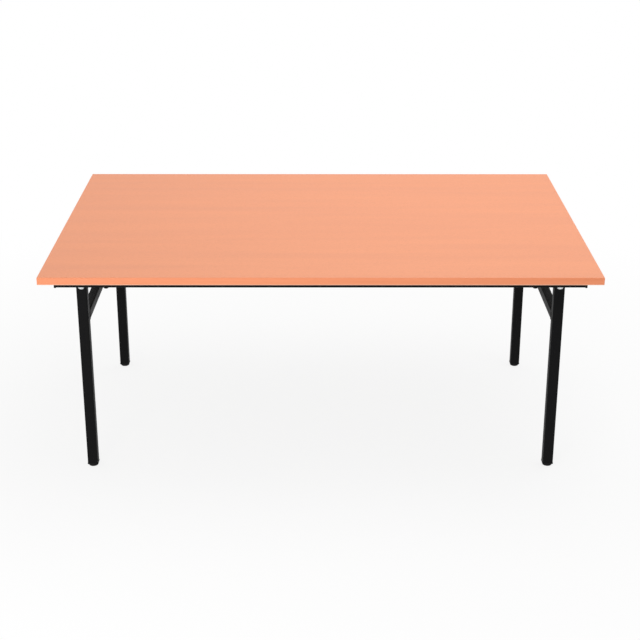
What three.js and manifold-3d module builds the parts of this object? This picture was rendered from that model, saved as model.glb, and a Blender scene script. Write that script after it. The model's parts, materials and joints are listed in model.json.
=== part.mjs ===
// Training table with two leg frames that fold in under its top.
// Millimetres, +Z up. The origin is on the floor under the middle of the top,
// X runs along the table, Y across it, and the front is at -Y.

import * as THREE from 'three';
import { mergeVertices } from 'three/addons/utils/BufferGeometryUtils.js';
import Module from 'manifold-3d';

const wasm = await Module();
wasm.setup();

// Overall sizes
const TABLE_LENGTH = 1800;
const TABLE_DEPTH = 1200;
const TABLE_HEIGHT = 750;

// Table top
const TOP_THICKNESS = 25;
const EDGE_BAND_THICKNESS = 2;
const EDGE_BAND_ROUNDING = 2;

// Under frame of square tube: two long rails and two cross rails
const RAIL_SIZE = 25;
const RAIL_WALL = 1.5;
const RAIL_CORNER = 2.5;
const RAIL_EDGE_INSET = 45;
const RAIL_END_INSET = 44;

// Plastic caps in the ends of the long rails
const RAIL_CAP_FLANGE = 6;
const RAIL_CAP_DROP = 2;
const RAIL_CAP_ROUNDING = 1.5;
const RAIL_CAP_PLUG_DEPTH = 22;
const RAIL_CAP_WALL = 2;

// Hexagon-head screws through the long rails into the top
const RAIL_SCREW_END_INSET = 210;
const SCREW_HEAD_FLATS = 13;
const SCREW_HEAD_HEIGHT = 5.5;
const SCREW_SHANK_DIAMETER = 8;
const SCREW_BITE = 16;

// Legs, placed by their axes, and the crossbar that joins the two legs of a frame
const LEG_SIZE = 35;
const LEG_WALL = 1.5;
const LEG_CORNER = 4;
const LEG_END_INSET = 113;
const LEG_EDGE_INSET = 169;
const CROSSBAR_SIZE = 30;
const CROSSBAR_WALL = 1.5;
const CROSSBAR_CORNER = 3;
const CROSSBAR_BELOW_PIVOT = 118;

// Foot caps: a round glide below a square flange
const FOOT_GLIDE_HEIGHT = 9;
const FOOT_GLIDE_INSET = 1;
const FOOT_GLIDE_ROUNDING = 3;
const FOOT_FLANGE_THICKNESS = 3;
const FOOT_FLANGE_OVERHANG = 1;
const FOOT_PLUG_DEPTH = 26;
const FOOT_WALL = 2.5;

// Hinge brackets, bent from plate and welded under the cross rails
const PIVOT_BELOW_RAIL = 33;
const BRACKET_PLATE = 3;
const BRACKET_END_REACH = 24;
const BRACKET_LIP_GAP = 9.5;
const CHEEK_EYE_RADIUS = 17;
const HINGE_SIDE_GAP = 0.8;

// Pivot bolts
const PIVOT_BOLT_DIAMETER = 10;
const PIVOT_HEAD_DIAMETER = 20;
const PIVOT_HEAD_HEIGHT = 6;
const PIVOT_SOCKET_FLATS = 6;
const PIVOT_SOCKET_DEPTH = 3.5;
const WASHER_DIAMETER = 22;
const WASHER_THICKNESS = 1.5;
const SLEEVE_DIAMETER = 14;
const NUT_FLATS = 17;
const NUT_HEIGHT = 9.5;
const BOLT_STANDOUT = 3;

// Lock pins that slide through the inner cheeks into the legs
const LOCK_BELOW_PIVOT = 26;
const LOCK_EYE_RADIUS = 12;
const LOCK_PIN_DIAMETER = 8;
const LOCK_TRAVEL = 12;
const LOCK_BUSH_DIAMETER = 16;
const LOCK_BUSH_SPIGOT = 12;
const LOCK_BUSH_LENGTH = 16;
const LOCK_KNOB_DIAMETER = 18;
const LOCK_KNOB_LENGTH = 14;
const LOCK_KNOB_ROUNDING = 3.5;
const LOCK_KNOB_WAIST_DIAMETER = 13;
const LOCK_KNOB_WAIST_LENGTH = 3.5;
const LOCK_KNOB_GRIP = 10;

// Clearances and smoothness
const FIT_GAP = 0.3;
const CHAMFER = 0.8;
const SHARPEST_CORNER = 0.3;
const ARC_STEPS = 3;
const ROUND_SIDES = 18;
const WELD_DISTANCE = 1e-4;
const CUT_MARGIN = 5;

// Heights and places that follow from the sizes above
const TOP_UNDERSIDE = TABLE_HEIGHT - TOP_THICKNESS;
const RAIL_UNDERSIDE = TOP_UNDERSIDE - RAIL_SIZE;
const RAIL_CENTRE_HEIGHT = TOP_UNDERSIDE - RAIL_SIZE / 2;
const RAIL_CENTRE_Y = TABLE_DEPTH / 2 - RAIL_EDGE_INSET - RAIL_SIZE / 2;
const RAIL_HALF_LENGTH = TABLE_LENGTH / 2 - RAIL_END_INSET - RAIL_CAP_FLANGE;
const RAIL_SCREW_X = TABLE_LENGTH / 2 - RAIL_SCREW_END_INSET;
const LEG_X = TABLE_LENGTH / 2 - LEG_END_INSET;
const LEG_Y = TABLE_DEPTH / 2 - LEG_EDGE_INSET;
const LEG_HALF = LEG_SIZE / 2;
const PIVOT_HEIGHT = RAIL_UNDERSIDE - PIVOT_BELOW_RAIL;
const CHEEK_INSIDE = LEG_HALF + HINGE_SIDE_GAP;
const CHEEK_OUTSIDE = CHEEK_INSIDE + BRACKET_PLATE;
const WEB_UNDERSIDE = PIVOT_BELOW_RAIL - BRACKET_PLATE;
const BEND_INSIDE = HINGE_SIDE_GAP;
const BEND_OUTSIDE = BEND_INSIDE + BRACKET_PLATE;
const LEG_TOP_RADIUS = WEB_UNDERSIDE - FIT_GAP;
const LIP_OUTSIDE = LEG_HALF + BRACKET_LIP_GAP + BRACKET_PLATE + FIT_GAP;

const LEFT = -1;
const RIGHT = 1;
const FRONT = -1;
const REAR = 1;
const CORNERS = [
  { name: 'front_left', side: LEFT, face: FRONT },
  { name: 'front_right', side: RIGHT, face: FRONT },
  { name: 'rear_left', side: LEFT, face: REAR },
  { name: 'rear_right', side: RIGHT, face: REAR },
];

// Finishes

function finish(color, roughness, metalness) {
  return () => new THREE.MeshStandardMaterial({ color, roughness, metalness, flatShading: true });
}

const LAMINATE = finish('#f0a988', 0.45, 0);
const EDGE_PLASTIC = finish('#ee9a72', 0.5, 0);
const BLACK_STEEL = finish('#1b1b1e', 0.45, 0.3);
const BLACK_PLASTIC = finish('#0d0d0f', 0.6, 0);
const BRIGHT_STEEL = finish('#d3d6d8', 0.25, 1);

// Solids

function signedVolume(geometry) {
  const position = geometry.attributes.position;
  const index = geometry.index.array;
  const [a, b, c] = [new THREE.Vector3(), new THREE.Vector3(), new THREE.Vector3()];
  let sum = 0;
  for (let i = 0; i < index.length; i += 3) {
    a.fromBufferAttribute(position, index[i]);
    b.fromBufferAttribute(position, index[i + 1]);
    c.fromBufferAttribute(position, index[i + 2]);
    sum += a.dot(b.cross(c)) / 6;
  }
  return sum;
}

// A copy with shared corners merged, flat triangles dropped and every face pointing out.
function welded(source) {
  const bare = source.clone();
  bare.deleteAttribute('normal');
  bare.deleteAttribute('uv');
  const merged = mergeVertices(bare, WELD_DISTANCE);
  const index = merged.index.array;
  const kept = [];
  for (let i = 0; i < index.length; i += 3) {
    const [a, b, c] = [index[i], index[i + 1], index[i + 2]];
    if (a !== b && b !== c && c !== a) {
      kept.push(a, b, c);
    }
  }
  merged.setIndex(kept);
  if (signedVolume(merged) < 0) {
    merged.setIndex(kept.reverse());
  }
  return merged;
}

// A mirrored copy, with its faces still pointing out.
function mirrored(source, alongX, alongY) {
  const geometry = source.clone().scale(alongX, alongY, 1);
  if (alongX * alongY < 0) {
    geometry.setIndex(Array.from(geometry.index.array).reverse());
  }
  return geometry;
}

function solid(geometry) {
  return new wasm.Manifold(new wasm.Mesh({
    numProp: 3,
    vertProperties: new Float32Array(geometry.attributes.position.array),
    triVerts: new Uint32Array(geometry.index.array),
  }));
}

function geometryOf(manifold) {
  const mesh = manifold.getMesh();
  const geometry = new THREE.BufferGeometry();
  geometry.setAttribute('position', new THREE.BufferAttribute(mesh.vertProperties, 3));
  geometry.setIndex(new THREE.BufferAttribute(mesh.triVerts, 1));
  return geometry;
}

function cut(source, ...tools) {
  return geometryOf(tools.reduce((body, tool) => body.subtract(solid(tool)), solid(source)));
}

function join(source, ...others) {
  return geometryOf(others.reduce((body, other) => body.add(solid(other)), solid(source)));
}

function common(source, other) {
  return geometryOf(solid(source).intersect(solid(other)));
}

// Outlines and the solids swept from them

function arcPoints(x, y, radius, from, to) {
  return Array.from({ length: ARC_STEPS + 1 }, (_, i) => {
    const angle = from + ((to - from) * i) / ARC_STEPS;
    return new THREE.Vector2(x + radius * Math.cos(angle), y + radius * Math.sin(angle));
  });
}

function roundedRectanglePoints(width, height, corner) {
  const radius = Math.min(corner, width / 2, height / 2);
  const [x, y] = [width / 2 - radius, height / 2 - radius];
  const quarter = Math.PI / 2;
  return [
    ...arcPoints(x, y, radius, 0, quarter),
    ...arcPoints(-x, y, radius, quarter, 2 * quarter),
    ...arcPoints(-x, -y, radius, 2 * quarter, 3 * quarter),
    ...arcPoints(x, -y, radius, 3 * quarter, 4 * quarter),
  ];
}

function roundedRectangle(width, height, corner) {
  return new THREE.Shape(roundedRectanglePoints(width, height, corner));
}

function tubeSection(size, wall, corner) {
  const inside = size - 2 * wall;
  const shape = roundedRectangle(size, size, corner);
  shape.holes.push(roundedRectangle(inside, inside, Math.max(corner - wall, SHARPEST_CORNER)));
  return shape;
}

function hexagon(flats) {
  const radius = flats / Math.sqrt(3);
  const corners = Array.from({ length: 6 }, (_, i) => {
    const angle = (i * Math.PI) / 3;
    return new THREE.Vector2(radius * Math.cos(angle), radius * Math.sin(angle));
  });
  return new THREE.Shape(corners);
}

// The outline of a band stretched round several discs, by a walk round their convex hull.
function stretchedOutline(discs) {
  const points = discs.flatMap(({ x, y, radius }) => Array.from({ length: ROUND_SIDES }, (_, i) => {
    const angle = (2 * Math.PI * i) / ROUND_SIDES;
    return new THREE.Vector2(x + radius * Math.cos(angle), y + radius * Math.sin(angle));
  }));
  points.sort((p, q) => p.x - q.x || p.y - q.y);
  const turn = (o, p, q) => (p.x - o.x) * (q.y - o.y) - (p.y - o.y) * (q.x - o.x);
  const halfHull = (list) => {
    const hull = [];
    for (const point of list) {
      while (hull.length > 1 && turn(hull.at(-2), hull.at(-1), point) <= WELD_DISTANCE) {
        hull.pop();
      }
      hull.push(point);
    }
    return hull.slice(0, -1);
  };
  return new THREE.Shape([...halfHull(points), ...halfHull(points.toReversed())]);
}

function extrude(shape, depth) {
  return welded(new THREE.ExtrudeGeometry(shape, { depth, steps: 1, bevelEnabled: false }));
}

// The outline's own axes lie along Y and Z.
function extrudeAlongX(shape, from, to) {
  const turned = new THREE.Matrix4().makeBasis(
    new THREE.Vector3(0, 1, 0),
    new THREE.Vector3(0, 0, 1),
    new THREE.Vector3(1, 0, 0),
  );
  return extrude(shape, to - from).applyMatrix4(turned).translate(from, 0, 0);
}

// The outline's own axes lie along X and Z.
function extrudeAlongY(shape, from, to) {
  return extrude(shape, to - from).rotateX(Math.PI / 2).translate(0, to, 0);
}

function extrudeAlongZ(shape, from, to) {
  return extrude(shape, to - from).translate(0, 0, from);
}

// A round piece about an axis along Y, from [radius, place along Y] pairs.
function turnedAlongY(profile, sides = ROUND_SIDES) {
  return welded(new THREE.LatheGeometry(profile.map(([radius, y]) => new THREE.Vector2(radius, y)), sides));
}

function rodAlongY(radius, from, to) {
  return turnedAlongY([[0, from], [radius, from], [radius, to], [0, to]]);
}

function rodAlongZ(radius, from, to) {
  return rodAlongY(radius, from, to).rotateX(Math.PI / 2);
}

// A hexagon along Y with its corners turned down at both ends.
function hexagonBlank(flats, from, to) {
  const flatRadius = flats / 2;
  const turningRadius = flatRadius + 2 * CHAMFER;
  const turned = turnedAlongY([
    [0, from],
    [flatRadius, from],
    [turningRadius, from + CHAMFER],
    [turningRadius, to - CHAMFER],
    [flatRadius, to],
    [0, to],
  ]);
  return common(extrudeAlongY(hexagon(flats), from, to), turned);
}

// Rounded rectangles stacked along Z and skinned, closed by a flat cap at both ends.
function skinned(sections) {
  const rings = sections.map(({ width, height, corner, z }) => {
    const outline = roundedRectanglePoints(width, height, corner);
    return outline.map((point) => new THREE.Vector3(point.x, point.y, z));
  });
  const count = rings[0].length;
  const points = rings.flat();
  const index = [];
  for (let ring = 0; ring + 1 < rings.length; ring += 1) {
    for (let i = 0; i < count; i += 1) {
      const [a, b] = [ring * count + i, ring * count + ((i + 1) % count)];
      index.push(a, b, b + count, a, b + count, a + count);
    }
  }
  const last = (rings.length - 1) * count;
  for (let i = 1; i + 1 < count; i += 1) {
    index.push(0, i + 1, i, last, last + i, last + i + 1);
  }
  const geometry = new THREE.BufferGeometry().setFromPoints(points);
  geometry.setIndex(index);
  return welded(geometry);
}

function block(sizeX, sizeY, sizeZ) {
  return welded(new THREE.BoxGeometry(sizeX, sizeY, sizeZ));
}

// Rounding of a block's end, as [inset, distance from the end] pairs.
function roundedEnd(radius) {
  return Array.from({ length: ARC_STEPS + 1 }, (_, i) => {
    const angle = (i / ARC_STEPS) * (Math.PI / 2);
    return [radius * (1 - Math.sin(angle)), radius * (1 - Math.cos(angle))];
  });
}

// Corner pieces are drawn for the front left corner, about the pivot axis:
// +X and +Y point towards the middle of the table.
function atCorner(geometry, corner) {
  return mirrored(geometry, -corner.side, -corner.face);
}

function piece(name, geometry, makeMaterial) {
  const mesh = new THREE.Mesh(geometry, makeMaterial());
  mesh.name = name;
  return mesh;
}

// Table top

function topBoard() {
  const length = TABLE_LENGTH - 2 * EDGE_BAND_THICKNESS;
  const depth = TABLE_DEPTH - 2 * EDGE_BAND_THICKNESS;
  const board = block(length, depth, TOP_THICKNESS);
  board.translate(0, 0, TOP_UNDERSIDE + TOP_THICKNESS / 2);
  const pilotRadius = SCREW_SHANK_DIAMETER / 2 + FIT_GAP;
  const pilotEnd = TOP_UNDERSIDE + SCREW_BITE + FIT_GAP;
  const pilots = CORNERS.map(({ side, face }) => rodAlongZ(pilotRadius, TOP_UNDERSIDE - CUT_MARGIN, pilotEnd)
    .translate(side * RAIL_SCREW_X, face * RAIL_CENTRE_Y, 0));
  return cut(board, ...pilots);
}

// Section of an edge band: flat against the board, rounded on its two outer edges.
function edgeBandSection() {
  const r = Math.min(EDGE_BAND_ROUNDING, EDGE_BAND_THICKNESS, TOP_THICKNESS / 2);
  const x = EDGE_BAND_THICKNESS - r;
  return new THREE.Shape([
    new THREE.Vector2(0, 0),
    ...arcPoints(x, r, r, -Math.PI / 2, 0),
    ...arcPoints(x, TOP_THICKNESS - r, r, 0, Math.PI / 2),
    new THREE.Vector2(0, TOP_THICKNESS),
  ]);
}

// A band along X on the outer side of the long edge, with the table's corners rounded off.
function longEdgeBand(face) {
  const band = extrudeAlongX(edgeBandSection(), -TABLE_LENGTH / 2, TABLE_LENGTH / 2);
  band.translate(0, TABLE_DEPTH / 2 - EDGE_BAND_THICKNESS, TOP_UNDERSIDE);
  const plan = roundedRectangle(TABLE_LENGTH, TABLE_DEPTH, EDGE_BAND_ROUNDING);
  const rounded = common(band, extrudeAlongZ(plan, TOP_UNDERSIDE - CUT_MARGIN, TABLE_HEIGHT + CUT_MARGIN));
  return mirrored(rounded, 1, face);
}

function shortEdgeBand(side) {
  const half = TABLE_DEPTH / 2 - EDGE_BAND_THICKNESS;
  const band = extrudeAlongY(edgeBandSection(), -half, half);
  band.translate(TABLE_LENGTH / 2 - EDGE_BAND_THICKNESS, 0, TOP_UNDERSIDE);
  return mirrored(band, side, 1);
}

// Under frame

function longRail(face) {
  const section = tubeSection(RAIL_SIZE, RAIL_WALL, RAIL_CORNER);
  const tube = extrudeAlongX(section, -RAIL_HALF_LENGTH, RAIL_HALF_LENGTH);
  const holeRadius = SCREW_SHANK_DIAMETER / 2 + FIT_GAP;
  const holeReach = RAIL_SIZE / 2 + CUT_MARGIN;
  const holes = [LEFT, RIGHT].map((side) => rodAlongZ(holeRadius, -holeReach, holeReach)
    .translate(side * RAIL_SCREW_X, 0, 0));
  return cut(tube, ...holes).translate(0, face * RAIL_CENTRE_Y, RAIL_CENTRE_HEIGHT);
}

function crossRail(side) {
  const half = RAIL_CENTRE_Y - RAIL_SIZE / 2;
  const tube = extrudeAlongY(tubeSection(RAIL_SIZE, RAIL_WALL, RAIL_CORNER), -half, half);
  return tube.translate(side * LEG_X, 0, RAIL_CENTRE_HEIGHT);
}

// Cap of the rail's right end: a flange that hangs a little below the tube, and a hollow plug inside it.
function railCap() {
  const height = RAIL_SIZE + RAIL_CAP_DROP - FIT_GAP;
  const rounding = Math.min(RAIL_CAP_ROUNDING, RAIL_CAP_FLANGE / 2);
  const edge = roundedEnd(rounding).map(([inset, fromEnd]) => ({
    width: height - 2 * inset,
    height: RAIL_SIZE - 2 * inset,
    corner: RAIL_CORNER,
    z: RAIL_CAP_FLANGE - fromEnd,
  }));
  const seat = { width: height, height: RAIL_SIZE, corner: RAIL_CORNER, z: 0 };
  const flange = skinned([seat, ...edge.toReversed()]);
  const plugSize = RAIL_SIZE - 2 * RAIL_WALL - 2 * FIT_GAP;
  const plugSection = tubeSection(plugSize, RAIL_CAP_WALL, RAIL_CORNER - RAIL_WALL);
  const plug = extrudeAlongX(plugSection, -RAIL_CAP_PLUG_DEPTH, RAIL_CAP_FLANGE / 2);
  const upright = flange.rotateY(Math.PI / 2).translate(0, 0, -(RAIL_CAP_DROP + FIT_GAP) / 2);
  return join(upright, plug);
}

function railScrew() {
  const shankRadius = SCREW_SHANK_DIAMETER / 2;
  const tip = RAIL_SIZE + SCREW_BITE;
  const shank = turnedAlongY([
    [0, -SCREW_HEAD_HEIGHT / 2],
    [shankRadius, -SCREW_HEAD_HEIGHT / 2],
    [shankRadius, tip - SCREW_SHANK_DIAMETER],
    [0, tip],
  ]);
  return join(hexagonBlank(SCREW_HEAD_FLATS, -SCREW_HEAD_HEIGHT, 0), shank).rotateX(Math.PI / 2);
}

// Hinges

// Inner and outer cheek below a web, with bent corners; a lip on the inner end stops the folded leg.
function hingeBracket() {
  const half = CHEEK_OUTSIDE;
  const lowest = -LOCK_BELOW_PIVOT - LOCK_EYE_RADIUS;
  const [bendY, bendZ] = [CHEEK_INSIDE - BEND_INSIDE, WEB_UNDERSIDE - BEND_INSIDE];
  const channel = new THREE.Shape([
    new THREE.Vector2(half, lowest),
    ...arcPoints(bendY, bendZ, BEND_OUTSIDE, 0, Math.PI / 2),
    ...arcPoints(-bendY, bendZ, BEND_OUTSIDE, Math.PI / 2, Math.PI),
    new THREE.Vector2(-half, lowest),
    new THREE.Vector2(-CHEEK_INSIDE, lowest),
    ...arcPoints(-bendY, bendZ, BEND_INSIDE, Math.PI, Math.PI / 2),
    ...arcPoints(bendY, bendZ, BEND_INSIDE, Math.PI / 2, 0),
    new THREE.Vector2(CHEEK_INSIDE, lowest),
  ]);
  const bent = extrudeAlongX(channel, -BRACKET_END_REACH, LIP_OUTSIDE);

  const upperDiscs = [-BRACKET_END_REACH, LIP_OUTSIDE].map((x) => ({
    x,
    y: PIVOT_BELOW_RAIL,
    radius: BRACKET_PLATE,
  }));
  const pivotEye = { x: 0, y: 0, radius: CHEEK_EYE_RADIUS };
  const lockEye = { x: 0, y: -LOCK_BELOW_PIVOT, radius: LOCK_EYE_RADIUS };
  const outerOutline = stretchedOutline([...upperDiscs, pivotEye]);
  const innerOutline = stretchedOutline([...upperDiscs, pivotEye, lockEye]);
  const outerHalf = common(bent, extrudeAlongY(outerOutline, -half - CUT_MARGIN, CUT_MARGIN));
  const innerHalf = common(bent, extrudeAlongY(innerOutline, -CUT_MARGIN, half + CUT_MARGIN));
  const cheeks = join(outerHalf, innerHalf);

  const lipFoot = LEG_HALF + FIT_GAP;
  const lipHeight = WEB_UNDERSIDE + BRACKET_PLATE / 2 - lipFoot;
  const lip = block(BRACKET_PLATE, 2 * (bendY - FIT_GAP), lipHeight);
  lip.translate(LIP_OUTSIDE - FIT_GAP - BRACKET_PLATE / 2, 0, lipFoot + lipHeight / 2);

  const boltHole = rodAlongY(PIVOT_BOLT_DIAMETER / 2 + FIT_GAP, -half - CUT_MARGIN, half + CUT_MARGIN);
  const bushHole = rodAlongY(LOCK_BUSH_SPIGOT / 2 + FIT_GAP, 0, half + CUT_MARGIN);
  bushHole.translate(0, 0, -LOCK_BELOW_PIVOT);
  return cut(join(cheeks, lip), boltHole, bushHole);
}

function pivotBolt() {
  const headRadius = PIVOT_HEAD_DIAMETER / 2;
  const shankRadius = PIVOT_BOLT_DIAMETER / 2;
  const headBase = -CHEEK_OUTSIDE - WASHER_THICKNESS;
  const headTop = headBase - PIVOT_HEAD_HEIGHT;
  const end = CHEEK_OUTSIDE + NUT_HEIGHT + BOLT_STANDOUT;
  const domeBase = headBase - CHAMFER;
  const domeHeight = PIVOT_HEAD_HEIGHT - CHAMFER;
  const dome = Array.from({ length: ARC_STEPS + 1 }, (_, i) => {
    const angle = (i / ARC_STEPS) * (Math.PI / 2);
    return [headRadius * Math.sin(angle), domeBase - domeHeight * Math.cos(angle)];
  });
  const bolt = turnedAlongY([
    ...dome,
    [headRadius, headBase],
    [shankRadius, headBase],
    [shankRadius, end - CHAMFER],
    [shankRadius - CHAMFER, end],
    [0, end],
  ]);
  const socketEnd = headTop + PIVOT_SOCKET_DEPTH;
  const socket = extrudeAlongY(hexagon(PIVOT_SOCKET_FLATS), headTop - CUT_MARGIN, socketEnd);
  return cut(bolt, socket);
}

function ringAlongY(outerRadius, innerRadius, from, to) {
  return turnedAlongY([
    [innerRadius, from],
    [outerRadius, from],
    [outerRadius, to],
    [innerRadius, to],
    [innerRadius, from],
  ]);
}

function pivotWasher() {
  const inner = PIVOT_BOLT_DIAMETER / 2 + FIT_GAP;
  return ringAlongY(WASHER_DIAMETER / 2, inner, -CHEEK_OUTSIDE - WASHER_THICKNESS, -CHEEK_OUTSIDE);
}

function pivotSleeve() {
  return ringAlongY(SLEEVE_DIAMETER / 2, PIVOT_BOLT_DIAMETER / 2 + FIT_GAP, -CHEEK_INSIDE, CHEEK_INSIDE);
}

function pivotNut() {
  const [near, far] = [CHEEK_OUTSIDE, CHEEK_OUTSIDE + NUT_HEIGHT];
  const bore = rodAlongY(PIVOT_BOLT_DIAMETER / 2 + FIT_GAP, near - CUT_MARGIN, far + CUT_MARGIN);
  return cut(hexagonBlank(NUT_FLATS, near, far), bore);
}

// Leg locks, drawn with the pin drawn back out of the leg

function lockBush() {
  const bore = LOCK_PIN_DIAMETER / 2 + FIT_GAP;
  const end = CHEEK_OUTSIDE + LOCK_BUSH_LENGTH;
  return turnedAlongY([
    [bore, CHEEK_INSIDE + FIT_GAP],
    [LOCK_BUSH_SPIGOT / 2, CHEEK_INSIDE + FIT_GAP],
    [LOCK_BUSH_SPIGOT / 2, CHEEK_OUTSIDE],
    [LOCK_BUSH_DIAMETER / 2, CHEEK_OUTSIDE],
    [LOCK_BUSH_DIAMETER / 2, end - CHAMFER],
    [LOCK_BUSH_DIAMETER / 2 - CHAMFER, end],
    [bore, end],
    [bore, CHEEK_INSIDE + FIT_GAP],
  ]).translate(0, 0, -LOCK_BELOW_PIVOT);
}

const KNOB_FACE = CHEEK_OUTSIDE + LOCK_BUSH_LENGTH + LOCK_TRAVEL + FIT_GAP;

function lockPin() {
  const radius = LOCK_PIN_DIAMETER / 2;
  const nose = CHEEK_INSIDE + FIT_GAP;
  const end = KNOB_FACE + LOCK_KNOB_GRIP;
  return turnedAlongY([
    [0, nose],
    [radius - CHAMFER, nose],
    [radius, nose + CHAMFER],
    [radius, end],
    [0, end],
  ]).translate(0, 0, -LOCK_BELOW_PIVOT);
}

// Knob waisted for two fingers, with a blind hole for the pin.
function lockKnob() {
  const radius = LOCK_KNOB_DIAMETER / 2;
  const waist = LOCK_KNOB_WAIST_DIAMETER / 2;
  const end = KNOB_FACE + LOCK_KNOB_LENGTH;
  const bore = LOCK_PIN_DIAMETER / 2 + FIT_GAP;
  const head = roundedEnd(LOCK_KNOB_ROUNDING).map(([inset, fromEnd]) => [radius - inset, end - fromEnd]);
  return turnedAlongY([
    [0, KNOB_FACE + LOCK_KNOB_GRIP + FIT_GAP],
    [bore, KNOB_FACE + LOCK_KNOB_GRIP + FIT_GAP],
    [bore, KNOB_FACE],
    [waist, KNOB_FACE],
    [waist, KNOB_FACE + LOCK_KNOB_WAIST_LENGTH],
    ...head.toReversed(),
    [0, end],
  ]).translate(0, 0, -LOCK_BELOW_PIVOT);
}

// Leg frames, drawn about the pivot axis

const FOOT_HEIGHT = FOOT_GLIDE_HEIGHT + FOOT_FLANGE_THICKNESS;
const LEG_FOOT = FOOT_HEIGHT - PIVOT_HEIGHT;

// Square tube whose top is square on the outside, where it stops against the bracket,
// and rounded about the pivot on the inside, so that it can fold.
function leg() {
  const tube = extrudeAlongZ(tubeSection(LEG_SIZE, LEG_WALL, LEG_CORNER), LEG_FOOT, LEG_TOP_RADIUS);
  const reach = LEG_HALF + FIT_GAP;
  const sideView = new THREE.Shape([
    new THREE.Vector2(-reach, LEG_FOOT - CUT_MARGIN),
    new THREE.Vector2(reach, LEG_FOOT - CUT_MARGIN),
    ...arcPoints(0, 0, LEG_TOP_RADIUS, Math.acos(reach / LEG_TOP_RADIUS), Math.PI / 2),
    new THREE.Vector2(-reach, LEG_TOP_RADIUS),
  ]);
  const trimmed = common(tube, extrudeAlongY(sideView, -reach, reach));
  const sleeveHole = rodAlongY(SLEEVE_DIAMETER / 2 + FIT_GAP, -reach, reach);
  const lockHole = rodAlongY(LOCK_PIN_DIAMETER / 2 + FIT_GAP, 0, reach);
  lockHole.translate(0, 0, -LOCK_BELOW_PIVOT);
  return cut(trimmed, sleeveHole, lockHole);
}

// The crossbar lies flush with the inner faces of the legs.
function crossbar(side) {
  const half = LEG_Y - LEG_HALF;
  const tube = extrudeAlongY(tubeSection(CROSSBAR_SIZE, CROSSBAR_WALL, CROSSBAR_CORNER), -half, half);
  const inwards = -side * (LEG_HALF - CROSSBAR_SIZE / 2);
  return tube.translate(inwards, 0, -CROSSBAR_BELOW_PIVOT);
}

// Cap with a round glide, a square flange below the leg and a hollow plug inside it.
function footCap() {
  const glide = LEG_SIZE - 2 * FOOT_GLIDE_INSET;
  const flange = LEG_SIZE + 2 * FOOT_FLANGE_OVERHANG;
  const flangeCorner = LEG_CORNER + FOOT_FLANGE_OVERHANG;
  const plug = LEG_SIZE - 2 * LEG_WALL - 2 * FIT_GAP;
  const plugCorner = Math.max(LEG_CORNER - LEG_WALL - FIT_GAP, SHARPEST_CORNER);
  const plugTop = FOOT_HEIGHT + FOOT_PLUG_DEPTH;
  const square = (width, corner, z) => ({ width, height: width, corner, z });
  const round = (diameter, z) => square(diameter, diameter / 2, z);
  const rounding = Math.min(FOOT_GLIDE_ROUNDING, FOOT_GLIDE_HEIGHT);
  const sole = roundedEnd(rounding).map(([inset, fromEnd]) => round(glide - 2 * inset, fromEnd));
  return skinned([
    ...sole,
    round(glide, FOOT_GLIDE_HEIGHT),
    square(flange, flangeCorner, FOOT_GLIDE_HEIGHT),
    square(flange, flangeCorner, FOOT_HEIGHT),
    square(plug, plugCorner, FOOT_HEIGHT),
    square(plug, plugCorner, plugTop),
    square(plug - 2 * FOOT_WALL, plugCorner, plugTop),
    square(plug - 2 * FOOT_WALL, plugCorner, FOOT_HEIGHT),
  ]).translate(0, 0, -PIVOT_HEIGHT);
}

// Assembly

const table = new THREE.Group();
table.name = 'training_table';

table.add(
  piece('table_top', topBoard(), LAMINATE),
  piece('edge_band_front', longEdgeBand(FRONT), EDGE_PLASTIC),
  piece('edge_band_rear', longEdgeBand(REAR), EDGE_PLASTIC),
  piece('edge_band_left', shortEdgeBand(LEFT), EDGE_PLASTIC),
  piece('edge_band_right', shortEdgeBand(RIGHT), EDGE_PLASTIC),
  piece('rail_front', longRail(FRONT), BLACK_STEEL),
  piece('rail_rear', longRail(REAR), BLACK_STEEL),
  piece('cross_rail_left', crossRail(LEFT), BLACK_STEEL),
  piece('cross_rail_right', crossRail(RIGHT), BLACK_STEEL),
);

// Pieces fixed to the under frame near each corner, about the pivot of that corner's leg.
const HINGE_PIECES = [
  ['hinge_bracket', hingeBracket(), BLACK_STEEL],
  ['pivot_bolt', pivotBolt(), BRIGHT_STEEL],
  ['pivot_washer', pivotWasher(), BRIGHT_STEEL],
  ['pivot_sleeve', pivotSleeve(), BRIGHT_STEEL],
  ['pivot_nut', pivotNut(), BRIGHT_STEEL],
  ['lock_bush', lockBush(), BRIGHT_STEEL],
  ['lock_pin', lockPin(), BRIGHT_STEEL],
  ['lock_knob', lockKnob(), BLACK_PLASTIC],
];

const capGeometry = railCap();
const screwGeometry = railScrew();
for (const corner of CORNERS) {
  const { name, side, face } = corner;
  const cap = piece(`rail_cap_${name}`, atCorner(capGeometry, { side: -side, face }), BLACK_PLASTIC);
  cap.position.set(side * RAIL_HALF_LENGTH, face * RAIL_CENTRE_Y, RAIL_CENTRE_HEIGHT);
  const screw = piece(`rail_screw_${name}`, screwGeometry, BLACK_STEEL);
  screw.position.set(side * RAIL_SCREW_X, face * RAIL_CENTRE_Y, RAIL_UNDERSIDE);
  table.add(cap, screw);
  for (const [kind, geometry, makeMaterial] of HINGE_PIECES) {
    const mesh = piece(`${kind}_${name}`, atCorner(geometry, corner), makeMaterial);
    mesh.position.set(side * LEG_X, face * LEG_Y, PIVOT_HEIGHT);
    table.add(mesh);
  }
}

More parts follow.
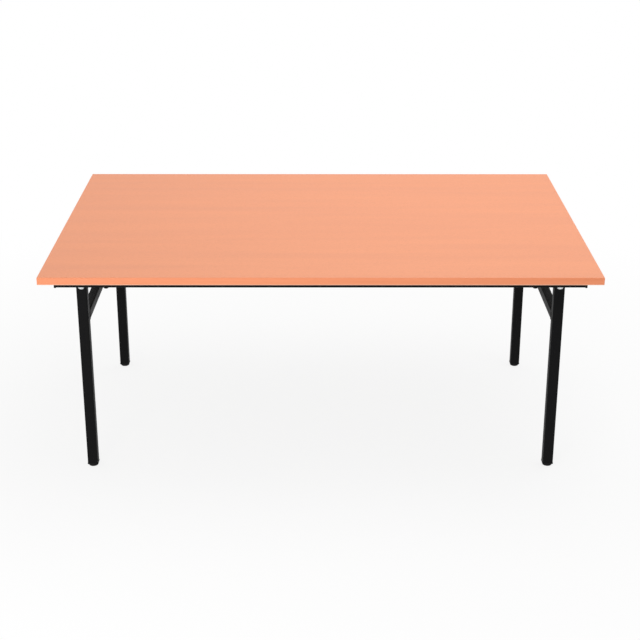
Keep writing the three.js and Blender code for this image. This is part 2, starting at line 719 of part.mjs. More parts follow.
// Each leg frame is a group that turns about the pivot axis along Y through its own origin.
const legGeometry = leg();
const footGeometry = footCap();
for (const [sideName, side] of [['left', LEFT], ['right', RIGHT]]) {
  const frame = new THREE.Group();
  frame.name = `${sideName}_leg_frame`;
  frame.position.set(side * LEG_X, 0, PIVOT_HEIGHT);
  frame.add(piece(`crossbar_${sideName}`, crossbar(side), BLACK_STEEL));
  for (const corner of CORNERS.filter((each) => each.side === side)) {
    const tube = piece(`leg_${corner.name}`, atCorner(legGeometry, corner), BLACK_STEEL);
    const foot = piece(`foot_cap_${corner.name}`, footGeometry, BLACK_PLASTIC);
    tube.position.y = corner.face * LEG_Y;
    foot.position.y = corner.face * LEG_Y;
    frame.add(tube, foot);
  }
  table.add(frame);
}

export default table;
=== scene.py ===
"""Training table with folding legs: the finished look of every piece, and a plain studio round it.

The packed model is the fixed frame. Metres, +Z up, the front of the table at -Y.
"""

import json
import math
from functools import cache

import bmesh
import bpy
from bpy.props import FloatProperty, FloatVectorProperty, IntProperty, PointerProperty
from mathutils import Matrix, Vector
from mathutils.geometry import convex_hull_2d


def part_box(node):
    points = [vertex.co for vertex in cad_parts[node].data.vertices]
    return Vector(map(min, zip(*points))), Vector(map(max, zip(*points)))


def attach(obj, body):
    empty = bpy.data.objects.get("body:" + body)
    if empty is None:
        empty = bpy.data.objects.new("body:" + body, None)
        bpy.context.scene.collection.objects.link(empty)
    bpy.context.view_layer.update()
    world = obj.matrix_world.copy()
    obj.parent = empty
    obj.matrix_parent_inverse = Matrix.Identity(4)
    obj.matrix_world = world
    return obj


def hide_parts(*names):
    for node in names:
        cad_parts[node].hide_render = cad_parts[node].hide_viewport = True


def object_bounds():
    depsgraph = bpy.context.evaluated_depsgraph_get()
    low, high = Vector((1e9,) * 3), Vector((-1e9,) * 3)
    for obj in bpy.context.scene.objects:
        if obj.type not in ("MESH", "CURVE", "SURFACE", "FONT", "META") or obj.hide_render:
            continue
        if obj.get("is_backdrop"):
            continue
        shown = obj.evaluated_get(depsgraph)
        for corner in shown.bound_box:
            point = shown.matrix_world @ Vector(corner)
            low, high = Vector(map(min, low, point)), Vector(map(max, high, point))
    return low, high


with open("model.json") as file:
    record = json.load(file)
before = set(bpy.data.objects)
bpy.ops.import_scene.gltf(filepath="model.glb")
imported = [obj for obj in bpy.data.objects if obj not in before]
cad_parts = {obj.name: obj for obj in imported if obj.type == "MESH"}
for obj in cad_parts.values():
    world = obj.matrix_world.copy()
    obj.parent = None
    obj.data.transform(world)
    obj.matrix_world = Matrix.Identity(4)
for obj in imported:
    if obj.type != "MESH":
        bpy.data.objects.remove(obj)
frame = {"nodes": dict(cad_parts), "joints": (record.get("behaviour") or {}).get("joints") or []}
CAD_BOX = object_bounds()

bl_info = {
    "name": "Folding Training Table",
    "version": (1, 0, 0),
    "blender": (4, 5, 0),
    "location": "View3D > Sidebar > Table",
    "description": "Finishes the pieces of a training table whose leg frames fold in under its top",
    "category": "Object",
}

IMAGE_WIDTH_PX = 640
SENSOR_WIDTH_MM = 36.0

MM = 0.001
CORNERS = ("front_left", "front_right", "rear_left", "rear_right")
ENDS = ("left", "right")
FACES = ("front", "rear")


def side_of(name):
    """-1 at the left end of the table, 1 at the right end."""
    return -1 if name.endswith("left") else 1


def face_of(name):
    """-1 at the front of the table, 1 at the rear."""
    return -1 if name.startswith("front") else 1


def size_of(node):
    low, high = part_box(node)
    return high - low


def middle_of(node):
    low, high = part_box(node)
    return (low + high) / 2


def radius_of(node):
    return size_of(node).z / 2


def span_of(node):
    """Both ends along Y of a piece at a front leg, measured from the middle of that leg."""
    return [corner.y + LEG_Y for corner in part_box(node)]


# Sizes that the frame gives
PIVOT = Vector(next(joint["pos_m"] for joint in frame["joints"] if joint["name"] == "right_fold"))
LEG_Y = middle_of("leg_rear_right").y
LEG_SIZE = size_of("leg_rear_right").x
LEG_HALF = LEG_SIZE / 2
LEG_FOOT, LEG_TOP = (corner.z - PIVOT.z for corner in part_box("leg_rear_right"))
CROSSBAR_SIZE = size_of("crossbar_left").z
RAIL_SIZE = size_of("rail_front").z
RAIL_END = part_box("rail_front")[1].x
CHEEK_INSIDE = size_of("pivot_sleeve_front_left").y / 2
CHEEK_OUTSIDE = size_of("hinge_bracket_front_left").y / 2
PLATE = CHEEK_OUTSIDE - CHEEK_INSIDE
RAIL_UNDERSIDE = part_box("rail_front")[0].z - PIVOT.z
WEB_UNDERSIDE = RAIL_UNDERSIDE - PLATE
LOCK_DROP = PIVOT.z - middle_of("lock_pin_front_left").z
SLEEVE_RADIUS = radius_of("pivot_sleeve_front_left")
PIN_RADIUS = radius_of("lock_pin_front_left")

# Sizes that the frame's boxes do not show
FIT_GAP = 0.3 * MM
CUT_MARGIN = 5 * MM
EDGE_BREAK = 0.8 * MM
BACKING_THICKNESS = 0.6 * MM
CAP_ROUNDING = 1.5 * MM
CAP_CORNER_SHRINK = 0.6
CAP_WALL = 2 * MM
CAP_PLUG_CORNER = 1 * MM
SCREW_SHANK = 8 * MM
SCREW_HEAD = 5.5 * MM
PIVOT_EYE = 17 * MM
BRACKET_ROUNDING = 0.35 * MM
BOLT_RADIUS = 5 * MM
BOLT_BORE = BOLT_RADIUS + FIT_GAP
SOCKET_FLATS = 6 * MM
SOCKET_DEPTH = 3.5 * MM
SOCKET_ROUNDING = 0.2 * MM
THREAD_DEPTH = 0.42
WASHER_RADIUS = 11 * MM
WASHER_THICKNESS = 1.5 * MM
RING_ROUNDING = 0.3 * MM
NUT_FLATS = 17 * MM
NUT_HEIGHT = 9.5 * MM
PIN_BORE = PIN_RADIUS + FIT_GAP
BUSH_SPIGOT = 12 * MM
KNOB_WAIST = 6.5 * MM
KNOB_WAIST_LENGTH = 3.5 * MM
KNOB_ROUNDING = 3.0 * MM
KNOB_BORE_DEPTH = 10.3 * MM
RIB_RADIUS = 0.9 * MM
GLIDE_HEIGHT = 9 * MM
GLIDE_INSET = 1 * MM
GLIDE_ROUNDING = 3 * MM
FOOT_WALL = 2.5 * MM
FOOT_EDGE = 0.35 * MM

# Smoothness
QUARTER = math.pi / 2
ARC_STEPS = 8
SMALL_ARC_STEPS = 4
QUARTER_STEPS = [i / ARC_STEPS * QUARTER for i in range(ARC_STEPS + 1)]
ROUND_SIDES = 48
BEVEL_STEPS = 2
MERGE_DISTANCE = 1e-6
SLIVER = 0.01 * MM
SHARP_ANGLE = math.radians(32)


# Sizes and colours that a user would change

def linear(red, green, blue):
    """Scene-linear colour of an 8-bit display colour."""
    def channel(value):
        share = value / 255
        return share / 12.92 if share <= 0.04045 else ((share + 0.055) / 1.055) ** 2.4
    return tuple(channel(value) for value in (red, green, blue))


def tone(name, description, color):
    return FloatVectorProperty(
        name=name, description=description, subtype="COLOR", size=3, min=0, max=1, default=color)


def number(name, description, default, **kind):
    return FloatProperty(name=name, description=description, default=default, **kind)


def length(name, description, low, high, default):
    return number(name, description, default, unit="LENGTH", min=low, max=high)


class TopLooks(bpy.types.PropertyGroup):
    """Laminate and edge band of the table top."""

    laminate: tone("Laminate", "Main tone of the beech decor", linear(246, 163, 122))
    laminate_dark: tone("Grain", "Tone of the darker streaks in the decor", linear(237, 152, 111))
    band: tone("Edge band", "Tone of the plastic edge band", linear(247, 154, 110))
    band_dark: tone("Edge band grain", "Tone of the streaks printed on the edge band", linear(238, 143, 99))
    # Paler lower edge of the band: a painted highlight of the floor reflected in the rounded edge, along with
    # paler trimmed plastic.
    trim_highlight: tone(
        "Trimmed edge", "Paler tone where the band was trimmed along its lower edge", linear(254, 198, 168))
    backing: tone("Backing", "Tone of the plain sheet under the board", linear(118, 111, 103))
    band_rounding: length(
        "Band rounding", "Radius of the edge band's outer edges", 0.5 * MM, 2 * MM, 2 * MM)
    streak_length: length("Streak length", "Usual length of a streak along the table", 0.05, 3, 0.9)
    streak_width: length("Streak width", "Usual width of a streak across the table", 1 * MM, 0.2, 0.06)


class SteelLooks(bpy.types.PropertyGroup):
    """Painted tubes and plates."""

    coat: tone("Powder coat", "Tone of the black coat", linear(9, 9, 10))
    rubbed: tone("Rubbed edges", "Tone of the coat where edges are rubbed", linear(58, 58, 61))
    tube_wall: length(
        "Tube wall", "Wall of the leg, crossbar and rail tubes", 0.8 * MM, 4 * MM, 1.5 * MM)
    leg_corner: length("Leg corner", "Outer corner radius of the legs", 1 * MM, 10 * MM, 4 * MM)
    crossbar_corner: length(
        "Crossbar corner", "Outer corner radius of the crossbars", 1 * MM, 10 * MM, 3 * MM)
    rail_corner: length("Rail corner", "Outer corner radius of the rails", 1 * MM, 10 * MM, 2.5 * MM)
    bead_radius: length("Weld bead", "Radius of a weld bead's ripples", 0.5 * MM, 4 * MM, 1.7 * MM)
    bead_step: length(
        "Weld ripple", "Distance between two ripples of a weld bead", 0.5 * MM, 10 * MM, 1.5 * MM)


class HardwareLooks(bpy.types.PropertyGroup):
    """Bolts, screws, pins and moulded pieces."""

    zinc: tone("Zinc plating", "Tone of the bright hardware", linear(238, 240, 241))
    plastic: tone("Black plastic", "Tone of the caps, feet and knobs", linear(8, 8, 9))
    thread_pitch: length(
        "Thread pitch", "Pitch of the pivot bolts' thread", 0.5 * MM, 3 * MM, 1.25 * MM)
    knob_ribs: IntProperty(
        name="Knob ribs", description="Ribs round each lock knob", subtype="UNSIGNED",
        min=6, max=40, default=16)


class StageLooks(bpy.types.PropertyGroup):
    """Floor, light and camera."""

    floor: tone("Floor", "Tone of the floor", (0.98, 0.98, 0.98))
    shadow: number("Shadow", "Share of the floor's shadow that the camera sees", 0.15,
                   subtype="FACTOR", min=0, max=1)
    sky: number("Sky light", "Strength of the light from all round", 0.62, subtype="FACTOR", min=0, max=3)
    key: number("Key light", "Power of the lamp above the table", 39, unit="POWER", min=0, max=2000)
    fill: number("Fill light", "Power of the lamp in front on the left", 26, unit="POWER", min=0, max=2000)
    camera_place: FloatVectorProperty(
        name="Camera place", description="Where the camera stands", subtype="TRANSLATION",
        size=3, default=(-0.016459, -4.747518, 2.264427))
    camera_pitch: number("Camera pitch", "Angle that the camera looks down", 0.38025,
                         subtype="ANGLE", min=-1.5, max=1.5)
    camera_turn: number("Camera turn", "Turn of the camera about the vertical", -0.00332, subtype="ANGLE")
    camera_roll: number("Camera roll", "Turn about its line of sight", 0.00126, subtype="ANGLE")
    focal_px: number("Focal length", "Focal length in pixels of a 640 pixel wide image", 1395.226,
                     subtype="PIXEL", min=100, max=10000)


# Mesh making

def along_x(u, v, t):
    return Vector((t, u, v))


def along_y(u, v, t):
    return Vector((u, t, v))


def along_z(u, v, t):
    return Vector((u, v, t))


def arc(x, y, radius, start, end, steps=ARC_STEPS):
    angles = [start + (end - start) * i / steps for i in range(steps + 1)]
    return [(x + radius * math.cos(a), y + radius * math.sin(a)) for a in angles]


def circle(x, y, radius, sides=ROUND_SIDES):
    return arc(x, y, radius, 0, 2 * math.pi, sides)[:-1]


def hexagon(flats):
    return circle(0, 0, flats / math.sqrt(3), 6)


def rounded_rectangle(width, height, corner):
    x, y = width / 2 - corner, height / 2 - corner
    outline = []
    for i, (u, v) in enumerate(((x, y), (-x, y), (-x, -y), (x, -y))):
        outline += arc(u, v, corner, i * QUARTER, (i + 1) * QUARTER)
    return outline


def made_mesh(bm):
    mesh = bpy.data.meshes.new("mesh")
    bm.to_mesh(mesh)
    bm.free()
    return mesh


def skin(rings, ends="capped"):
    """Surface through rings of equally many points; its two ends are capped, joined or open."""
    bm = bmesh.new()
    rows = [[bm.verts.new(point) for point in ring] for ring in rings]
    count = len(rows[0])
    pairs = list(zip(rows, rows[1:]))
    if ends == "joined":
        pairs.append((rows[-1], rows[0]))
    for near, far in pairs:
        for i in range(count):
            j = (i + 1) % count
            bm.faces.new((near[i], near[j], far[j], far[i]))
    if ends == "capped":
        bm.faces.new(rows[0])
        bm.faces.new(rows[-1])
    bmesh.ops.remove_doubles(bm, verts=bm.verts, dist=MERGE_DISTANCE)
    bmesh.ops.recalc_face_normals(bm, faces=bm.faces)
    return made_mesh(bm)


def square_tube(size, wall, corner, start, end, place):
    outer = rounded_rectangle(size, size, corner)
    inside = size - 2 * wall
    inner = rounded_rectangle(inside, inside, max(corner - wall, wall / 4))
    loops = ((outer, start), (outer, end), (inner, end), (inner, start))
    return skin([[place(u, v, t) for u, v in outline] for outline, t in loops], "joined")


def cross_tube(node, size, corner, looks):
    """Square tube along Y that takes the place of a node."""
    low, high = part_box(node)
    middle = middle_of(node)
    tube = square_tube(size, looks.tube_wall, corner, low.y, high.y, along_y)
    return moved(tube, middle.x, 0, middle.z)


def prism(outline, start, end, place):
    return skin([[place(u, v, t) for u, v in outline] for t in (start, end)])


def turned(profile):
    """Round piece about the Y axis; its (radius, y) profile ends on the axis or where it starts."""
    return skin([[along_y(u, v, y) for u, v in circle(0, 0, radius)] for radius, y in profile], "open")


def ring(outer, inner, start, end):
    """Ring about the Y axis with its outer edges broken."""
    rim = outer - RING_ROUNDING
    return turned([
        (inner, start), (rim, start), (outer, start + RING_ROUNDING), (outer, end - RING_ROUNDING),
        (rim, end), (inner, end), (inner, start)])


def rod(radius, start, end):
    return turned([(0, start), (radius, start), (radius, end), (0, end)])


def moved(mesh, x=0.0, y=0.0, z=0.0):
    mesh.transform(Matrix.Translation((x, y, z)))
    return mesh


def tipped(mesh, angle=QUARTER):
    """Turns a mesh about the X axis."""
    mesh.transform(Matrix.Rotation(angle, 4, "X"))
    return mesh


def at_lock(mesh):
    """Moves a piece drawn about a leg's pivot down to the lock below it."""
    return moved(mesh, 0, 0, -LOCK_DROP)


def stretched_outline(discs):
    """Outline of a band stretched round (x, y, radius) discs, from its left end on."""
    points = [point for disc in discs for point in circle(*disc)]
    outline = [points[i] for i in convex_hull_2d(points)]
    start = outline.index(min(outline))
    return outline[start:] + outline[:start]


def shown(name, mesh):
    obj = bpy.data.objects.new(name, mesh)
    bpy.context.scene.collection.objects.link(obj)
    return obj


def plain_mesh(obj):
    """Mesh of an object with its modifiers worked out; the object is removed."""
    bpy.context.view_layer.update()
    graph = bpy.context.evaluated_depsgraph_get()
    mesh = bpy.data.meshes.new_from_object(obj.evaluated_get(graph), depsgraph=graph)
    bpy.data.objects.remove(obj)
    return mesh


def without_slivers(mesh):
    """The mesh without the thin faces that a cut or a bevel can leave along its rim."""
    bm = bmesh.new()
    bm.from_mesh(mesh)
    bmesh.ops.remove_doubles(bm, verts=bm.verts, dist=SLIVER)
    bmesh.ops.dissolve_degenerate(bm, edges=bm.edges, dist=SLIVER)
    return made_mesh(bm)


def combined(mesh, tools, operation):
    """The mesh with each tool cut out of it, kept in common with it, or joined to it."""
    target = shown("blank", mesh)
    helpers = [shown("tool", tool) for tool in tools]
    for helper in helpers:
        modifier = target.modifiers.new("combine", "BOOLEAN")
        modifier.object = helper
        modifier.operation = operation
        modifier.solver = "EXACT"
    result = plain_mesh(target)
    for helper in helpers:
        bpy.data.objects.remove(helper)
    if not result.polygons:
        raise RuntimeError(f"{operation.lower()} left nothing of {mesh.name}")
    return without_slivers(result)


def bevelled(mesh, width):
    """The mesh with its sharp edges rounded off."""
    target = shown("blank", mesh)
    modifier = target.modifiers.new("round", "BEVEL")
    modifier.width = width
    modifier.segments = BEVEL_STEPS
    modifier.limit_method = "ANGLE"
    modifier.angle_limit = SHARP_ANGLE
    return without_slivers(plain_mesh(target))


def joined(meshes):
    """One mesh that holds several, each still a closed shell of its own."""
    bm = bmesh.new()
    for mesh in meshes:
        bm.from_mesh(mesh)
    return made_mesh(bm)


# Nodes

SOCKET_KINDS = {float: "Float", int: "Int", tuple: "Vector"}


def feed(tree, node, inputs):
    """Fills a node's inputs, each with a value, a socket's link or the link of a node's first output."""
    for key, value in inputs.items():
        if isinstance(value, bpy.types.Node):
            value = value.outputs[0]
        if isinstance(value, bpy.types.NodeSocket):
            tree.links.new(value, node.inputs[key])
        else:
            node.inputs[key].default_value = value


def add_node(tree, kind, numbered=None, **named):
    """Adds a node; a name with a capital is one of its inputs, any other is a setting of it."""
    node = tree.nodes.new(kind)
    inputs = dict(numbered or {})
    for key, value in named.items():
        if key[0].isupper():
            inputs[key.replace("_", " ")] = value
        else:
            setattr(node, key, value)
    feed(tree, node, inputs)
    return node


def add_math(tree, operation, *values, **settings):
    return add_node(tree, "ShaderNodeMath", dict(enumerate(values)), operation=operation, **settings)


def add_vector_math(tree, operation, *values):
    return add_node(tree, "ShaderNodeVectorMath", dict(enumerate(values)), operation=operation)


def ranged(tree, value, source=(0.0, 1.0), target=(0.0, 1.0), **settings):
    """A value spread from one range over another, and held within it."""
    return add_node(
        tree, "ShaderNodeMapRange", Value=value, From_Min=source[0], From_Max=source[1], To_Min=target[0],
        To_Max=target[1], **settings)


def new_tree(name, kind, **inputs):
    """An empty node group and its inputs, each named with a default value or a kind of socket."""
    tree = bpy.data.node_groups.new(name, kind)
    for key, value in inputs.items():
        label = key.replace("_", " ")
        bare = isinstance(value, str)
        socket_type = "NodeSocket" + (value if bare else SOCKET_KINDS[type(value)])
        socket = tree.interface.new_socket(label, in_out="INPUT", socket_type=socket_type)
        if not bare:
            socket.default_value = value
    return tree, tree.nodes.new("NodeGroupInput").outputs


def end_tree(tree, kind, **results):
    """Gives a node group its outputs, all of one kind of socket."""
    for label in results:
        tree.interface.new_socket(label, in_out="OUTPUT", socket_type=f"NodeSocket{kind}")
    add_node(tree, "NodeGroupOutput", **results)
    return tree


# Geometry Nodes for what repeats

def geometry_tree(name, **inputs):
    return new_tree(name, "GeometryNodeTree", **inputs, Material="Material")


def end_in_material(tree, given, instances):
    """Realizes the instances and gives them the tree's material."""
    real = add_node(tree, "GeometryNodeRealizeInstances", Geometry=instances)
    painted = add_node(tree, "GeometryNodeSetMaterial", Geometry=real, Material=given["Material"])
    return end_tree(tree, "Geometry", Geometry=painted)


@cache
def corner_set_tree():
    """One piece at each of four points, turned half round where it faces the other way."""
    tree, given = geometry_tree(
        "corner_set", Piece="Object", Spacing_X=1.0, Spacing_Y=1.0, Height=0.0, Facing=(0.0, 0.0, 0.0))
    points = add_node(
        tree, "GeometryNodeMeshGrid", Size_X=given["Spacing X"], Size_Y=given["Spacing Y"], Vertices_X=2,
        Vertices_Y=2)
    lift = add_node(tree, "ShaderNodeCombineXYZ", Z=given["Height"])
    lifted = add_node(tree, "GeometryNodeTransform", Geometry=points, Translation=lift)
    place = add_node(tree, "GeometryNodeInputPosition")
    along = add_vector_math(tree, "DOT_PRODUCT", place, given["Facing"])
    away = add_math(tree, "LESS_THAN", along.outputs["Value"], 0.0)
    angle = add_math(tree, "MULTIPLY", away, math.pi)
    euler = add_node(tree, "ShaderNodeCombineXYZ", Z=angle)
    turn = add_node(tree, "FunctionNodeEulerToRotation", Euler=euler)
    piece = add_node(tree, "GeometryNodeObjectInfo", Object=given["Piece"])
    copies = add_node(
        tree, "GeometryNodeInstanceOnPoints", Points=lifted, Instance=piece.outputs["Geometry"],
        Rotation=turn)
    return end_in_material(tree, given, copies)


@cache
def screw_thread_tree():
    """Helical ridge about the Z axis, with a sharp crest."""
    tree, given = geometry_tree("screw_thread", Radius=5 * MM, Turns=4.0, Length=5 * MM, Ridge=0.5 * MM)
    helix = add_node(
        tree, "GeometryNodeCurveSpiral", Resolution=32, Rotations=given["Turns"],
        Start_Radius=given["Radius"], End_Radius=given["Radius"], Height=given["Length"])
    crest = add_node(tree, "GeometryNodeCurvePrimitiveCircle", Resolution=4, Radius=given["Ridge"])
    ridge = add_node(tree, "GeometryNodeCurveToMesh", Curve=helix, Profile_Curve=crest, Fill_Caps=True)
    return end_in_material(tree, given, ridge)


@cache
def grip_ribs_tree():
    """Ribs along Z, evenly round the Z axis."""
    tree, given = geometry_tree(
        "grip_ribs", Count=16, Ring_Radius=9 * MM, Rib_Radius=1 * MM, Rib_Length=8 * MM)
    places = add_node(tree, "GeometryNodeMeshCircle", Vertices=given["Count"], Radius=given["Ring Radius"])
    ball = add_node(tree, "GeometryNodeMeshUVSphere", Segments=10, Rings=8, Radius=0.5)
    width = add_math(tree, "MULTIPLY", given["Rib Radius"], 2.0)
    size = add_node(tree, "ShaderNodeCombineXYZ", X=width, Y=width, Z=given["Rib Length"])
    ribs = add_node(tree, "GeometryNodeInstanceOnPoints", Points=places, Instance=ball, Scale=size)
    return end_in_material(tree, given, ribs)


@cache
def weld_bead_tree():
    """Row of overlapping ripples along the edges that it is given."""
    tree, given = geometry_tree(
        "weld_bead", Path="Geometry", Step=1.5 * MM, Radius=1.7 * MM, Unevenness=0.18, Seed=7)
    curve = add_node(tree, "GeometryNodeMeshToCurve", Mesh=given["Path"])
    steps = add_node(tree, "GeometryNodeResampleCurve", Curve=curve, Length=given["Step"], mode="LENGTH")
    ripple = add_node(tree, "GeometryNodeMeshIcoSphere", Radius=given["Radius"], Subdivisions=2)
    least = add_math(tree, "SUBTRACT", 1.0, given["Unevenness"])
    # The node has sockets for each data type; the float ones are inputs 2 and 3, and output 1.
    size = add_node(
        tree, "FunctionNodeRandomValue", {2: least, 3: 1.0}, Seed=given["Seed"], data_type="FLOAT")
    copies = add_node(
        tree, "GeometryNodeInstanceOnPoints", Points=steps, Instance=ripple, Scale=size.outputs[1])
    return end_in_material(tree, given, copies)


def grown(tree, source=None, **values):
    """Plain mesh of a Geometry Nodes tree with the given inputs."""
    host = shown("host", source or bpy.data.meshes.new("empty"))
    modifier = host.modifiers.new("grow", "NODES")
    modifier.node_group = tree
    sockets = {item.name: item.identifier for item in tree.interface.items_tree if item.in_out == "INPUT"}
    for name, value in values.items():
        modifier[sockets[name.replace("_", " ")]] = value
    return plain_mesh(host)


# Shader groups

STREAK_RANGE = (0.3, 0.72)
PORE_RANGE = (0.56, 0.72)
EDGE_RANGE = (0.995, 0.8)
RUB_GRAIN = 180.0


@cache
def streaks_group():
    """Long soft streaks along X and short fine pores, for a printed wood decor."""
    tree, given = new_tree(
        "wood_streaks", "ShaderNodeTree", Vector="Vector", Streak_Length=0.9, Streak_Width=0.03,
        Pore_Length=6 * MM, Pore_Width=0.7 * MM)

    def stretched(kind, **noise):
        across = given[f"{kind} Width"]
        size = add_node(tree, "ShaderNodeCombineXYZ", X=given[f"{kind} Length"], Y=across, Z=across)
        scaled = add_vector_math(tree, "DIVIDE", given["Vector"], size)
        return add_node(tree, "ShaderNodeTexNoise", Vector=scaled, Scale=1.0, **noise)

    broad = stretched("Streak", Detail=4.0, Roughness=0.4, Distortion=0.4)
    fine = stretched("Pore", Detail=1.0, Roughness=0.5)
    return end_tree(
        tree, "Float", Streak=ranged(tree, broad, STREAK_RANGE), Pore=ranged(tree, fine, PORE_RANGE))


@cache
def peel_group():
    """Fine waves of a sprayed or moulded skin, with a slow change of tone."""
    tree, given = new_tree(
        "orange_peel", "ShaderNodeTree", Vector="Vector", Peel_Size=1.5 * MM, Patch_Size=0.12)

    def noise_of(size, detail):
        return add_node(
            tree, "ShaderNodeTexNoise", Vector=given["Vector"],
            Scale=add_math(tree, "DIVIDE", 1.0, given[size]), Detail=detail, Roughness=0.5)

    return end_tree(tree, "Float", Height=noise_of("Peel Size", 1.0), Patch=noise_of("Patch Size", 3.0))


@cache
def rub_group():
    """Mask of the edges that hands and floors rub, broken up by a fine noise."""
    tree, given = new_tree("edge_rub", "ShaderNodeTree", Vector="Vector", Reach=1.5 * MM, Amount=0.5)
    rounded = add_node(tree, "ShaderNodeBevel", Radius=given["Reach"], samples=4)
    plain = add_node(tree, "ShaderNodeNewGeometry")
    alike = add_vector_math(tree, "DOT_PRODUCT", rounded, plain.outputs["Normal"])
    edge = ranged(tree, alike.outputs["Value"], EDGE_RANGE)
    noise = add_node(tree, "ShaderNodeTexNoise", Vector=given["Vector"], Scale=RUB_GRAIN, Detail=3.0)
    broken = add_math(tree, "MULTIPLY", edge, noise)
    mask = add_math(tree, "MULTIPLY", broken, given["Amount"], use_clamp=True)
    return end_tree(tree, "Float", Mask=mask)


def add_group(tree, group, **inputs):
    return add_node(tree, "ShaderNodeGroup", node_tree=group, **inputs).outputs


# Finishes

STREAK_SHARE = 0.6
PORE_SHARE = 0.45
PORE_SHADE = 0.72
BAND_STREAK_SHARE = 0.7
# Heights above the band's lower edge, in band roundings, over which its painted highlight and paler trim fade
# in.
BAND_TRIM_HIGHLIGHT = (1.5, 0.8)
COAT_SHADE = 0.75
SPECK_RANGE = (0.55, 0.7)
SPECK_SHADE = 2.5
RUBBED_PLASTIC_SHADE = 3.2
DULL_ZINC_SHADE = 0.78


def new_finish(name):
    """A material with a Principled BSDF, and the Object coordinates that its patterns use."""
    finish = bpy.data.materials.new(name)
    finish.use_nodes = True
    tree = finish.node_tree
    return finish, tree, add_node(tree, "ShaderNodeTexCoord").outputs["Object"]


def height_of(tree, coords):
    return add_node(tree, "ShaderNodeSeparateXYZ", Vector=coords).outputs["Z"]


def shade(color, share):
    return [share * channel for channel in color]


def mixed(tree, factor, *ends):
    """Colour between two colours, each a setting or a socket."""
    first, second = (end if isinstance(end, bpy.types.NodeSocket) else (*end, 1.0) for end in ends)
    # The node has sockets for each data type; the colours are inputs 6 and 7, and output 2.
    return add_node(tree, "ShaderNodeMix", {0: factor, 6: first, 7: second}, data_type="RGBA").outputs[2]


def set_surface(finish, color, relief, rough, bump, specular=0.5, metallic=0.0):
    """Feeds a finish's shader: rough is the range over the relief's patches, bump a strength and depth."""
    tree = finish.node_tree
    strength, depth = bump
    raised = add_node(
        tree, "ShaderNodeBump", Height=relief["Height"], Strength=strength, Distance=depth)
    feed(tree, tree.nodes["Principled BSDF"], {
        "Base Color": color, "Roughness": ranged(tree, relief["Patch"], target=rough), "Normal": raised,
        "Specular IOR Level": specular, "Metallic": metallic})
    return finish


@cache
def laminate():
    """Printed beech decor with streaks along X, and a plain backing sheet under the board."""
    looks = bpy.context.scene.table_top
    finish, tree, coords = new_finish("beech_laminate")
    grain = add_group(tree, streaks_group(), Vector=coords, Streak_Length=looks.streak_length,
                      Streak_Width=looks.streak_width)
    streak, pore = grain["Streak"], grain["Pore"]
    streaking = ranged(tree, streak, target=(0.0, STREAK_SHARE))
    streaked = mixed(tree, streaking, looks.laminate, looks.laminate_dark)
    flecking = ranged(tree, pore, target=(0.0, PORE_SHARE))
    decor = mixed(tree, flecking, streaked, shade(looks.laminate_dark, PORE_SHADE))
    sheet_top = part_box("table_top")[0].z + BACKING_THICKNESS
    under = add_math(tree, "LESS_THAN", height_of(tree, coords), sheet_top)
    color = mixed(tree, under, decor, looks.backing)
    relief = {"Patch": streak, "Height": pore}
    return set_surface(finish, color, relief, rough=(0.52, 0.44), bump=(0.1, 0.2 * MM), specular=0.3)


@cache
def edge_band(name, turn):
    """The same decor printed on a plastic strip, with a painted highlight along its lower edge where the
    rounded edge reflects the floor, and paler trimmed plastic there.
    """
    looks = bpy.context.scene.table_top
    finish, tree, coords = new_finish(name)
    along = add_node(tree, "ShaderNodeMapping", Vector=coords, Rotation=(0.0, 0.0, turn))
    grain = add_group(tree, streaks_group(), Vector=along, Streak_Length=looks.streak_length / 2,
                      Streak_Width=looks.streak_width / 6)
    peel = add_group(tree, peel_group(), Vector=coords, Peel_Size=0.9 * MM)
    streaking = ranged(tree, grain["Streak"], target=(0.0, BAND_STREAK_SHARE))
    decor = mixed(tree, streaking, looks.band, looks.band_dark)
    lower_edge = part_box("edge_band_front")[0].z
    # Painted highlight: the lower rounding is paler, as if it reflected the floor. This also stands for the
    # paler trimmed plastic.
    trim_highlight = [lower_edge + share * looks.band_rounding for share in BAND_TRIM_HIGHLIGHT]
    trim_highlight_mask = ranged(tree, height_of(tree, coords), trim_highlight)
    color = mixed(tree, trim_highlight_mask, decor, looks.trim_highlight)
    return set_surface(finish, color, peel, rough=(0.38, 0.52), bump=(0.06, 0.1 * MM), specular=0.3)


@cache
def powder_coat():
    """Black coat with orange peel and a fine speckle, paler where edges are rubbed."""
    looks = bpy.context.scene.table_steel
    finish, tree, coords = new_finish("black_powder_coat")
    peel = add_group(tree, peel_group(), Vector=coords, Peel_Size=1.6 * MM, Patch_Size=0.15)
    rub = add_group(tree, rub_group(), Vector=coords, Reach=1.6 * MM, Amount=0.8)
    toned = mixed(tree, peel["Patch"], shade(looks.coat, COAT_SHADE), looks.coat)
    speck = ranged(tree, peel["Height"], SPECK_RANGE)
    speckled = mixed(tree, speck, toned, shade(looks.coat, SPECK_SHADE))
    color = mixed(tree, rub["Mask"], speckled, looks.rubbed)
    return set_surface(finish, color, peel, rough=(0.48, 0.62), bump=(0.3, 0.3 * MM), specular=0.1)


@cache
def moulded_plastic():
    """Matt black plastic with the fine texture of its mould."""
    looks = bpy.context.scene.table_hardware
    finish, tree, coords = new_finish("black_moulded_plastic")
    peel = add_group(tree, peel_group(), Vector=coords, Peel_Size=0.7 * MM, Patch_Size=0.03)
    rub = add_group(tree, rub_group(), Vector=coords, Reach=1 * MM, Amount=0.35)
    color = mixed(tree, rub["Mask"], looks.plastic, shade(looks.plastic, RUBBED_PLASTIC_SHADE))
    return set_surface(finish, color, peel, rough=(0.5, 0.68), bump=(0.2, 0.2 * MM), specular=0.18)


